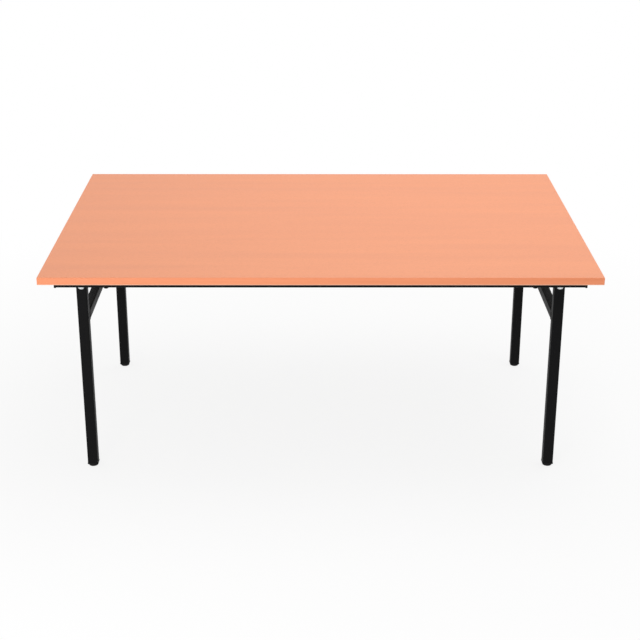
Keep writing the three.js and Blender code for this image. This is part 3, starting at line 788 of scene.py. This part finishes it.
@cache
def zinc_plating():
    """Bright plated steel, with the fine marks of turning and handling."""
    looks = bpy.context.scene.table_hardware
    finish, tree, coords = new_finish("bright_zinc")
    peel = add_group(tree, peel_group(), Vector=coords, Peel_Size=0.5 * MM, Patch_Size=0.012)
    color = mixed(tree, peel["Patch"], looks.zinc, shade(looks.zinc, DULL_ZINC_SHADE))
    return set_surface(finish, color, peel, rough=(0.18, 0.36), bump=(0.05, 0.1 * MM), metallic=1.0)


FINISHES = {
    "black_steel": powder_coat,
    "black_plastic": moulded_plastic,
    "bright_steel": zinc_plating,
}


# Finished pieces

def paint(mesh, finish):
    mesh.materials.clear()
    mesh.materials.append(finish)


def dress(name, mesh, slot, nodes=(), body="table", finish=None):
    """Shows a finished mesh as a piece that moves with a body and stands for its nodes."""
    mesh.name = name
    paint(mesh, finish or FINISHES[slot]())
    mesh.shade_smooth()
    mesh.set_sharp_from_angle(angle=SHARP_ANGLE)
    piece = shown(name, mesh)
    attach(piece, body)
    if nodes:
        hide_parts(*nodes)


def dress_corner(name, mesh, corner, slot, kind, body="table"):
    """Mirrors a piece drawn about the front left pivot to a corner's pivot, as a piece of its own."""
    side, face = side_of(corner), face_of(corner)
    copy = mesh.copy()
    copy.transform(Matrix.Diagonal((-side, -face, 1, 1)))
    if side * face < 0:
        copy.flip_normals()
    moved(copy, side * PIVOT.x, face * LEG_Y, PIVOT.z)
    dress(f"{name}_{corner}", copy, slot, [f"{kind}_{corner}"], body)


def dress_set(name, mesh, slot, kind, spacing, height, facing):
    """Sets a piece drawn at the origin at four points about the table's middle, as one finished piece."""
    sample = shown("sample", mesh)
    whole_set = grown(
        corner_set_tree(), Piece=sample, Spacing_X=spacing[0], Spacing_Y=spacing[1], Height=height,
        Facing=facing, Material=FINISHES[slot]())
    bpy.data.objects.remove(sample)
    dress(name, whole_set, slot, [f"{kind}_{corner}" for corner in CORNERS])


def dress_pivot_set(kind, mesh):
    """Sets a bright piece drawn about the front left pivot at all four pivots."""
    spacing = (2 * PIVOT.x, 2 * LEG_Y)
    dress_set(f"{kind}_set", mesh, "bright_steel", kind, spacing, PIVOT.z, (0.0, -1.0, 0.0))


# Table top

def band_section(thickness, height, rounding):
    """Half-round section of an edge band as (out, up) pairs, flat where it is glued on."""
    reach = thickness - rounding
    return [
        (0.0, 0.0), *arc(reach, rounding, rounding, -QUARTER, 0),
        *arc(reach, height - rounding, rounding, 0, QUARTER), (0.0, height)]


def band_mesh(stations, section, foot):
    """Band swept through (x, y, angle of the outward direction) stations."""
    rings = []
    for x, y, angle in stations:
        out_x, out_y = math.cos(angle), math.sin(angle)
        rings.append([Vector((x + out_x * u, y + out_y * u, foot + v)) for u, v in section])
    return skin(rings)


def edge_bands(looks):
    """The four bands: the long ones turn the table's corners, the short ones butt against them."""
    low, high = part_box("table_top")
    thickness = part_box("edge_band_right")[1].x - high.x
    section = band_section(thickness, high.z - low.z, min(looks.band_rounding, thickness))
    for face_name in FACES:
        face = face_of(face_name)
        y = face * high.y
        left = [(low.x, y, math.pi - face * turn) for turn in QUARTER_STEPS]
        right = [(high.x, y, face * (QUARTER - turn)) for turn in QUARTER_STEPS]
        yield f"edge_band_{face_name}", band_mesh([*left, *right], section, low.z)
    for end in ENDS:
        side = side_of(end)
        angle = 0.0 if side > 0 else math.pi
        stations = [(side * high.x, y, angle) for y in (low.y, high.y)]
        yield f"edge_band_{end}", band_mesh(stations, section, low.z)


class TABLE_OT_top(bpy.types.Operator):
    """Finishes the board and glues the edge bands round it."""

    bl_idname = "training_table.make_top"
    bl_label = "Table Top"

    def execute(self, context):
        paint(frame["nodes"]["table_top"].data, laminate())
        for node, mesh in edge_bands(context.scene.table_top):
            at_end = node.split("_")[-1] in ENDS
            finish = edge_band("end_band_plastic", QUARTER) if at_end else edge_band("edge_band_plastic", 0.0)
            dress(node.replace("band", "strip"), mesh, "edge_plastic", [node], finish=finish)
        return {"FINISHED"}


# Under frame

def long_rail(node, looks):
    """Tube along X with a hole through it for each of its screws."""
    low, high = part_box(node)
    middle = middle_of(node)
    tube = square_tube(RAIL_SIZE, looks.tube_wall, looks.rail_corner, low.x, high.x, along_x)
    reach = RAIL_SIZE / 2 + CUT_MARGIN
    holes = []
    for end in ENDS:
        hole = tipped(rod(SCREW_SHANK / 2 + FIT_GAP, -reach, reach))
        holes.append(moved(hole, middle_of(f"{node.replace('rail', 'rail_screw')}_{end}").x))
    return moved(combined(tube, holes, "DIFFERENCE"), 0, middle.y, middle.z)


def hexagon_blank(flats, start, end):
    """Hexagon along Y with its corners turned down at both ends."""
    rim = flats / 2 - EDGE_BREAK / 2
    reach = flats / 2 + 2 * EDGE_BREAK
    drop = (reach - rim) / 2
    blank = turned([
        (0, start), (rim, start), (reach, start + drop), (reach, end - drop), (rim, end), (0, end)])
    bar = prism(hexagon(flats), start - CUT_MARGIN, end + CUT_MARGIN, along_y)
    return combined(bar, [blank], "INTERSECT")


def rail_screw():
    """Hexagon-head screw, drawn with the head's seat at the origin and its tip up."""
    size = size_of("rail_screw_front_left")
    tip = size.z - SCREW_HEAD
    shank = turned([
        (0, -SCREW_HEAD / 2), (SCREW_SHANK / 2, -SCREW_HEAD / 2), (SCREW_SHANK / 2, tip - SCREW_SHANK),
        (0, tip)])
    return tipped(combined(hexagon_blank(size.y, -SCREW_HEAD, 0), [shank], "UNION"))


def rail_cap(looks):
    """Cap of the right end of a rail: a flange with soft edges and a hollow plug behind it."""
    low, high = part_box("rail_cap_front_right")
    flange = high.x - RAIL_END
    height, depth = high.z - low.z, high.y - low.y
    sections = [(0.0, 0.0)]
    for angle in QUARTER_STEPS:
        inset = CAP_ROUNDING * (1 - math.cos(angle))
        sections.append((inset, flange - CAP_ROUNDING + CAP_ROUNDING * math.sin(angle)))
    rings = []
    for inset, x in sections:
        corner = looks.rail_corner - inset * CAP_CORNER_SHRINK
        outline = rounded_rectangle(depth - 2 * inset, height - 2 * inset, corner)
        rings.append([along_x(u, v, x) for u, v in outline])
    plate = moved(skin(rings), 0, 0, (low.z + high.z) / 2)
    plug_size = RAIL_SIZE - 2 * looks.tube_wall - 2 * FIT_GAP
    plug = square_tube(plug_size, CAP_WALL, CAP_PLUG_CORNER, low.x - RAIL_END, flange / 2, along_x)
    return combined(plate, [moved(plug, 0, 0, middle_of("rail_front").z)], "UNION")


class TABLE_OT_under_frame(bpy.types.Operator):
    """Makes the rails, their end caps and the screws that hold them to the top."""

    bl_idname = "training_table.make_under_frame"
    bl_label = "Under Frame"

    def execute(self, context):
        looks = context.scene.table_steel
        for face_name in FACES:
            node = f"rail_{face_name}"
            dress(f"rail_tube_{face_name}", long_rail(node, looks), "black_steel", [node])
        for end in ENDS:
            node = f"cross_rail_{end}"
            tube = cross_tube(node, RAIL_SIZE, looks.rail_corner, looks)
            dress(f"cross_tube_{end}", tube, "black_steel", [node])
        rail_y = middle_of("rail_rear").y
        spacing = (2 * RAIL_END, 2 * rail_y)
        outwards = (1.0, 0.0, 0.0)
        dress_set("rail_end_caps", rail_cap(looks), "black_plastic", "rail_cap", spacing, 0.0, outwards)
        spacing = (2 * middle_of("rail_screw_front_right").x, 2 * rail_y)
        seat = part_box("rail_front")[0].z
        any_way = (0.0, 0.0, 0.0)
        dress_set("rail_screw_set", rail_screw(), "black_steel", "rail_screw", spacing, seat, any_way)
        return {"FINISHED"}


# Hinges

def hinge_bracket():
    """Bent bracket about the front left pivot: two cheeks, a web, and a lip that stops the folded leg."""
    low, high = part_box("hinge_bracket_front_left")
    end_reach = low.x + PIVOT.x
    lip_reach = high.x + PIVOT.x
    lowest = low.z - PIVOT.z
    inner_bend = CHEEK_INSIDE - LEG_HALF
    outer_bend = inner_bend + PLATE
    bend_y, bend_z = CHEEK_INSIDE - inner_bend, WEB_UNDERSIDE - inner_bend
    channel = [
        (CHEEK_OUTSIDE, lowest), *arc(bend_y, bend_z, outer_bend, 0, QUARTER),
        *arc(-bend_y, bend_z, outer_bend, QUARTER, math.pi), (-CHEEK_OUTSIDE, lowest),
        (-CHEEK_INSIDE, lowest), *arc(-bend_y, bend_z, inner_bend, math.pi, QUARTER),
        *arc(bend_y, bend_z, inner_bend, QUARTER, 0), (CHEEK_INSIDE, lowest)]
    bent = prism(channel, end_reach, lip_reach, along_x)
    upper = [(end_reach, RAIL_UNDERSIDE, PLATE), (lip_reach, RAIL_UNDERSIDE, PLATE)]
    pivot_eye = (0.0, 0.0, PIVOT_EYE)
    lock_eye = (0.0, -LOCK_DROP, -LOCK_DROP - lowest)
    reach = CHEEK_OUTSIDE + CUT_MARGIN
    outer_tool = prism(stretched_outline([*upper, pivot_eye]), -reach, CUT_MARGIN, along_y)
    inner_tool = prism(stretched_outline([*upper, pivot_eye, lock_eye]), -CUT_MARGIN, reach, along_y)
    outer = combined(bent.copy(), [outer_tool], "INTERSECT")
    inner = combined(bent, [inner_tool], "INTERSECT")
    lip_half = bend_y - FIT_GAP
    lip_foot, lip_root = LEG_HALF + FIT_GAP, WEB_UNDERSIDE + PLATE / 2
    lip_face = [(-lip_half, lip_foot), (lip_half, lip_foot), (lip_half, lip_root), (-lip_half, lip_root)]
    lip = prism(lip_face, lip_reach - FIT_GAP - PLATE, lip_reach - FIT_GAP, along_x)
    whole = combined(outer, [inner, lip], "UNION")
    bolt_hole = rod(BOLT_BORE, -reach, reach)
    bush_hole = at_lock(rod(BUSH_SPIGOT / 2 + FIT_GAP, 0, reach))
    return bevelled(combined(whole, [bolt_hole, bush_hole], "DIFFERENCE"), BRACKET_ROUNDING)


def pivot_bolt(looks):
    """Dome-head bolt with a hexagon socket, and a thread on the end that stands out of the nut."""
    head_top, end = span_of("pivot_bolt_front_left")
    head = radius_of("pivot_bolt_front_left")
    head_base = -CHEEK_OUTSIDE - WASHER_THICKNESS
    dome_base = head_base - EDGE_BREAK
    dome_rise = head_top - dome_base
    ridge = looks.thread_pitch * THREAD_DEPTH
    core = BOLT_RADIUS - ridge
    thread_start = CHEEK_OUTSIDE + NUT_HEIGHT - 2 * looks.thread_pitch
    body = turned([
        *((head * math.sin(angle), dome_base + dome_rise * math.cos(angle)) for angle in QUARTER_STEPS),
        (head, head_base), (BOLT_RADIUS, head_base), (BOLT_RADIUS, thread_start),
        (core, thread_start + ridge), (core, end - EDGE_BREAK / 2), (core - EDGE_BREAK / 2, end),
        (0, end)])
    socket = prism(hexagon(SOCKET_FLATS), head_top - CUT_MARGIN, head_top + SOCKET_DEPTH, along_y)
    body = bevelled(combined(body, [socket], "DIFFERENCE"), SOCKET_ROUNDING)
    thread_length = end - EDGE_BREAK - ridge - thread_start
    thread = grown(
        screw_thread_tree(), Radius=core, Turns=thread_length / looks.thread_pitch, Length=thread_length,
        Ridge=ridge, Material=zinc_plating())
    return joined([body, moved(tipped(thread, -QUARTER), 0, thread_start + ridge / 2)])


def pivot_nut():
    near, far = CHEEK_OUTSIDE, CHEEK_OUTSIDE + NUT_HEIGHT
    hole = rod(BOLT_BORE, near - CUT_MARGIN, far + CUT_MARGIN)
    return combined(hexagon_blank(NUT_FLATS, near, far), [hole], "DIFFERENCE")


class TABLE_OT_hinges(bpy.types.Operator):
    """Makes the hinge brackets with their bolts, washers, sleeves and nuts."""

    bl_idname = "training_table.make_hinges"
    bl_label = "Hinges"

    def execute(self, context):
        bracket = hinge_bracket()
        for corner in CORNERS:
            dress_corner("bent_bracket", bracket, corner, "black_steel", "hinge_bracket")
        seat = -CHEEK_OUTSIDE
        dress_pivot_set("pivot_bolt", pivot_bolt(context.scene.table_hardware))
        dress_pivot_set("pivot_washer", ring(WASHER_RADIUS, BOLT_BORE, seat - WASHER_THICKNESS, seat))
        dress_pivot_set("pivot_sleeve", ring(SLEEVE_RADIUS, BOLT_BORE, -CHEEK_INSIDE, CHEEK_INSIDE))
        dress_pivot_set("pivot_nut", pivot_nut())
        return {"FINISHED"}


# Leg locks

def lock_bush():
    nose, end = span_of("lock_bush_front_left")
    radius = radius_of("lock_bush_front_left")
    return at_lock(turned([
        (PIN_BORE, nose), (BUSH_SPIGOT / 2, nose), (BUSH_SPIGOT / 2, CHEEK_OUTSIDE),
        (radius - EDGE_BREAK / 2, CHEEK_OUTSIDE), (radius, CHEEK_OUTSIDE + EDGE_BREAK / 2),
        (radius, end - EDGE_BREAK), (radius - EDGE_BREAK, end), (PIN_BORE + EDGE_BREAK / 2, end),
        (PIN_BORE, end - EDGE_BREAK / 2), (PIN_BORE, nose)]))


def lock_pin():
    nose, end = span_of("lock_pin_front_left")
    tip = arc(PIN_RADIUS - EDGE_BREAK, nose + EDGE_BREAK, EDGE_BREAK, -QUARTER, 0)
    return at_lock(turned([(0, nose), *tip, (PIN_RADIUS, end), (0, end)]))


def lock_knob(looks):
    """Waisted knob with grip ribs, drawn about the front left pivot."""
    face, end = span_of("lock_knob_front_left")
    radius = radius_of("lock_knob_front_left") - RIB_RADIUS / 2
    shoulder = face + KNOB_WAIST_LENGTH
    inner_soft, outer_soft = shoulder - EDGE_BREAK, shoulder + EDGE_BREAK
    body = turned([
        (0, face + KNOB_BORE_DEPTH), (PIN_BORE, face + KNOB_BORE_DEPTH), (PIN_BORE, face),
        (KNOB_WAIST, face), (KNOB_WAIST, inner_soft),
        *arc(KNOB_WAIST + EDGE_BREAK, inner_soft, EDGE_BREAK, math.pi, QUARTER, SMALL_ARC_STEPS),
        *arc(radius - EDGE_BREAK, outer_soft, EDGE_BREAK, -QUARTER, 0, SMALL_ARC_STEPS),
        *arc(radius - KNOB_ROUNDING, end - KNOB_ROUNDING, KNOB_ROUNDING, 0, QUARTER), (0, end)])
    rib_length = end - KNOB_ROUNDING - shoulder
    ribs = grown(
        grip_ribs_tree(), Count=looks.knob_ribs, Ring_Radius=radius - RIB_RADIUS / 2, Rib_Radius=RIB_RADIUS,
        Rib_Length=rib_length, Material=moulded_plastic())
    return at_lock(joined([body, moved(tipped(ribs), 0, shoulder + rib_length / 2)]))


class TABLE_OT_locks(bpy.types.Operator):
    """Makes the guide bushes, and the sliding pins with their knobs."""

    bl_idname = "training_table.make_locks"
    bl_label = "Leg Locks"

    def execute(self, context):
        dress_pivot_set("lock_bush", lock_bush())
        pin = lock_pin()
        knob = lock_knob(context.scene.table_hardware)
        for corner in CORNERS:
            body = f"{corner}_lock"
            dress_corner("lock_plunger", pin, corner, "bright_steel", "lock_pin", body)
            dress_corner("lock_grip", knob, corner, "black_plastic", "lock_knob", body)
        return {"FINISHED"}


# Leg frames

def leg(looks):
    """Leg about the front left pivot: square at the top outside, rounded inside so that it can fold."""
    tube = square_tube(LEG_SIZE, looks.tube_wall, looks.leg_corner, LEG_FOOT, LEG_TOP, along_z)
    reach = LEG_HALF + FIT_GAP
    side_view = [
        (-reach, LEG_FOOT - CUT_MARGIN), (reach, LEG_FOOT - CUT_MARGIN),
        *arc(0, 0, LEG_TOP, math.acos(reach / LEG_TOP), QUARTER), (-reach, LEG_TOP + CUT_MARGIN)]
    trim_highlight_mask = combined(tube, [prism(side_view, -reach, reach, along_y)], "INTERSECT")
    sleeve_hole = rod(SLEEVE_RADIUS + FIT_GAP, -reach, reach)
    pin_hole = at_lock(rod(PIN_BORE, 0, reach))
    return combined(trim_highlight_mask, [sleeve_hole, pin_hole], "DIFFERENCE")


def foot_cap(looks):
    """Foot about the front left pivot: round glide, square flange, and a hollow plug in the leg."""
    low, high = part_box("foot_cap_front_left")
    sole, flange_top, plug_top = low.z - PIVOT.z, LEG_FOOT, high.z - PIVOT.z
    glide_top = sole + GLIDE_HEIGHT
    glide = LEG_SIZE - 2 * GLIDE_INSET
    flange = high.x - low.x
    flange_corner = looks.leg_corner + (flange - LEG_SIZE) / 2
    plug = LEG_SIZE - 2 * looks.tube_wall - 2 * FIT_GAP
    plug_corner = looks.leg_corner - looks.tube_wall - FIT_GAP
    hollow = plug - 2 * FOOT_WALL
    soft_edge = arc(glide / 2 - GLIDE_ROUNDING, sole + GLIDE_ROUNDING, GLIDE_ROUNDING, -QUARTER, 0)
    sections = [(2 * radius, radius, z) for radius, z in soft_edge]
    sections += [
        (glide, glide / 2, glide_top), (flange - 2 * FOOT_EDGE, flange_corner, glide_top),
        (flange, flange_corner, glide_top + FOOT_EDGE), (flange, flange_corner, flange_top - FOOT_EDGE),
        (flange - 2 * FOOT_EDGE, flange_corner, flange_top), (plug, plug_corner, flange_top),
        (plug, plug_corner, plug_top), (hollow, plug_corner, plug_top), (hollow, plug_corner, flange_top)]
    return skin([[along_z(u, v, z) for u, v in rounded_rectangle(w, w, c)] for w, c, z in sections])


class TABLE_OT_leg_frames(bpy.types.Operator):
    """Makes the legs, crossbars and feet of both folding frames."""

    bl_idname = "training_table.make_leg_frames"
    bl_label = "Leg Frames"

    def execute(self, context):
        looks = context.scene.table_steel
        tube, foot = leg(looks), foot_cap(looks)
        for corner in CORNERS:
            body = f"{corner.split('_')[1]}_leg_frame"
            dress_corner("leg_tube", tube, corner, "black_steel", "leg", body)
            dress_corner("foot", foot, corner, "black_plastic", "foot_cap", body)
        for end in ENDS:
            node = f"crossbar_{end}"
            bar = cross_tube(node, CROSSBAR_SIZE, looks.crossbar_corner, looks)
            dress(f"crossbar_tube_{end}", bar, "black_steel", [node], f"{end}_leg_frame")
        return {"FINISHED"}


# Welds

def path_mesh(paths):
    """Mesh of bare edges through the points of each path."""
    bm = bmesh.new()
    for points in paths:
        verts = [bm.verts.new(point) for point in points]
        for pair in zip(verts, verts[1:]):
            bm.edges.new(pair)
    return made_mesh(bm)


def weld_bead(paths, looks):
    return grown(weld_bead_tree(), path_mesh(paths), Step=looks.bead_step, Radius=looks.bead_radius,
                 Material=powder_coat())


def crossbar_welds(end, looks):
    """Beads all round both ends of a crossbar, where it meets the legs."""
    low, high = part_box(f"crossbar_{end}")
    middle = middle_of(f"crossbar_{end}")
    outline = rounded_rectangle(CROSSBAR_SIZE, CROSSBAR_SIZE, looks.crossbar_corner)
    outline.append(outline[0])
    return [[along_y(middle.x + u, middle.z + v, y) for u, v in outline] for y in (low.y, high.y)]


def frame_welds(looks):
    """Beads under and beside the cross rails' ends, and along the bracket webs."""
    paths = []
    half = RAIL_SIZE / 2
    reach = LEG_HALF - looks.bead_radius
    for end in ENDS:
        low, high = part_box(f"cross_rail_{end}")
        middle = middle_of(f"cross_rail_{end}")
        side_height = high.z - 2 * looks.bead_radius
        corner_height = low.z + looks.rail_corner
        under = [
            (low.x, side_height), (low.x, corner_height), (low.x + looks.rail_corner, low.z),
            (high.x - looks.rail_corner, low.z), (high.x, corner_height), (high.x, side_height)]
        paths += [[along_y(x, z, y) for x, z in under] for y in (low.y, high.y)]
        web = low.z + looks.bead_radius / 2
        for leg_y in (-LEG_Y, LEG_Y):
            for x in (middle.x - half, middle.x + half):
                paths.append([along_y(x, web, y) for y in (leg_y - reach, leg_y + reach)])
    return paths


class TABLE_OT_welds(bpy.types.Operator):
    """Lays the weld beads of the under frame and of both leg frames."""

    bl_idname = "training_table.make_welds"
    bl_label = "Welds"

    def execute(self, context):
        looks = context.scene.table_steel
        dress("under_frame_welds", weld_bead(frame_welds(looks), looks), "black_steel")
        for end in ENDS:
            bead = weld_bead(crossbar_welds(end, looks), looks)
            dress(f"crossbar_welds_{end}", bead, "black_steel", body=f"{end}_leg_frame")
        return {"FINISHED"}


# Stage

WHITE = (1.0, 1.0, 1.0, 1.0)
FLOOR_HALF = 40.0
FLOOR_DROP = 0.5 * MM
KEY_LAMP = {"place": (0.7, 0.3, 3.4), "aim": (0.1, 0.0, 0.75), "width": 3.0, "height": 2.4}
FILL_LAMP = {"place": (-1.3, -3.2, 0.85), "aim": (-0.7, -0.5, 0.5), "width": 1.2, "height": 0.9}
SHADOW_FADE = (1.2, 2.6)


def emptied(owner):
    """The node tree of a material or a world, with nothing in it."""
    owner.use_nodes = True
    owner.node_tree.nodes.clear()
    return owner.node_tree


def seen_directly(tree):
    """1 for camera, glossy and transmission rays, 0 for rays that light the object."""
    path = add_node(tree, "ShaderNodeLightPath").outputs
    either = add_math(tree, "MAXIMUM", path["Is Camera Ray"], path["Is Glossy Ray"])
    return add_math(tree, "MAXIMUM", either, path["Is Transmission Ray"])


def floor_finish(looks):
    """White floor that shows part of the table's shadow near the table, and is clear from below."""
    finish = bpy.data.materials.new("studio_floor")
    tree = emptied(finish)
    lit = add_node(tree, "ShaderNodeBsdfDiffuse", Color=(*looks.floor, 1.0))
    white = add_node(tree, "ShaderNodeEmission", Color=WHITE, Strength=1.0)
    coords = add_node(tree, "ShaderNodeTexCoord")
    distance = add_vector_math(tree, "LENGTH", coords.outputs["Object"]).outputs["Value"]
    fade = (1.0 - looks.shadow, 1.0)
    whiteness = ranged(tree, distance, SHADOW_FADE, fade, interpolation_type="SMOOTHSTEP")
    share = add_math(tree, "MULTIPLY", seen_directly(tree), whiteness)
    blend = add_node(tree, "ShaderNodeMixShader", {0: share, 1: lit, 2: white})
    below = add_node(tree, "ShaderNodeNewGeometry").outputs["Backfacing"]
    clear = add_node(tree, "ShaderNodeBsdfTransparent")
    one_sided = add_node(tree, "ShaderNodeMixShader", {0: below, 1: blend, 2: clear})
    add_node(tree, "ShaderNodeOutputMaterial", Surface=one_sided)
    return finish


def white_world(looks):
    """Plain white to look at, and as bright as the sky setting where it lights the table."""
    world = bpy.data.worlds.new("studio")
    tree = emptied(world)
    strength = ranged(tree, seen_directly(tree), target=(looks.sky, 1.0))
    white = add_node(tree, "ShaderNodeBackground", Color=WHITE, Strength=strength)
    add_node(tree, "ShaderNodeOutputWorld", Surface=white)
    return world


def soft_lamp(name, power, place, aim, width, height):
    """Rectangular lamp that lights the table and stays out of the picture."""
    lamp = bpy.data.lights.new(name, "AREA")
    lamp.shape = "RECTANGLE"
    lamp.size = width
    lamp.size_y = height
    lamp.energy = power
    holder = shown(name, lamp)
    holder.location = place
    holder.visible_camera = False
    holder.rotation_euler = (Vector(aim) - Vector(place)).to_track_quat("-Z", "Y").to_euler()


def studio_camera(looks):
    camera = bpy.data.cameras.new("camera")
    camera.sensor_width = SENSOR_WIDTH_MM
    camera.lens = looks.focal_px / IMAGE_WIDTH_PX * SENSOR_WIDTH_MM
    holder = shown("camera", camera)
    turn = Matrix.Rotation(looks.camera_turn, 4, "Z")
    tilt = Matrix.Rotation(QUARTER - looks.camera_pitch, 4, "X")
    roll = Matrix.Rotation(looks.camera_roll, 4, "Z")
    holder.matrix_world = Matrix.Translation(looks.camera_place) @ turn @ tilt @ roll
    return holder


class TABLE_OT_stage(bpy.types.Operator):
    """Sets up the floor, the light and the camera."""

    bl_idname = "training_table.make_stage"
    bl_label = "Stage"

    def execute(self, context):
        scene = context.scene
        looks = scene.table_stage
        half = FLOOR_HALF
        mesh = bpy.data.meshes.new("floor")
        corners = [(-half, -half, 0), (half, -half, 0), (half, half, 0), (-half, half, 0)]
        mesh.from_pydata(corners, [], [(0, 1, 2, 3)])
        mesh.materials.append(floor_finish(looks))
        floor = shown("floor", moved(mesh, 0, 0, -FLOOR_DROP))
        floor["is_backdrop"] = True
        scene.world = white_world(looks)
        soft_lamp("key", looks.key, **KEY_LAMP)
        soft_lamp("fill", looks.fill, **FILL_LAMP)
        scene.camera = studio_camera(looks)
        scene.view_settings.view_transform = "Standard"
        return {"FINISHED"}


# Panel and registration

LOOKS = {
    "table_top": TopLooks,
    "table_steel": SteelLooks,
    "table_hardware": HardwareLooks,
    "table_stage": StageLooks,
}
STEPS = (
    TABLE_OT_top,
    TABLE_OT_under_frame,
    TABLE_OT_hinges,
    TABLE_OT_locks,
    TABLE_OT_leg_frames,
    TABLE_OT_welds,
    TABLE_OT_stage,
)


class TABLE_PT_panel(bpy.types.Panel):
    """Lists the steps and their settings."""

    bl_label = "Training Table"
    bl_idname = "TABLE_PT_panel"
    bl_space_type = "VIEW_3D"
    bl_region_type = "UI"
    bl_category = "Table"

    def draw(self, context):
        for step in STEPS:
            self.layout.operator(step.bl_idname)
        for name, group in LOOKS.items():
            box = self.layout.box()
            box.label(text=group.__doc__)
            for prop in group.__annotations__:
                box.prop(getattr(context.scene, name), prop)


def register():
    for group in LOOKS.values():
        bpy.utils.register_class(group)
    for name, group in LOOKS.items():
        setattr(bpy.types.Scene, name, PointerProperty(type=group))
    for step in (*STEPS, TABLE_PT_panel):
        bpy.utils.register_class(step)


def unregister():
    for step in reversed((*STEPS, TABLE_PT_panel)):
        bpy.utils.unregister_class(step)
    for name in LOOKS:
        delattr(bpy.types.Scene, name)
    for group in reversed(LOOKS.values()):
        bpy.utils.unregister_class(group)


def main():
    register()
    for step in STEPS:
        area, name = step.bl_idname.split(".")
        getattr(getattr(bpy.ops, area), name)()
    boxes = {"cad": CAD_BOX, "visual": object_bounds()}
    {name: [list(corner) for corner in box] for name, box in boxes.items()}


if __name__ == "__main__":
    main()
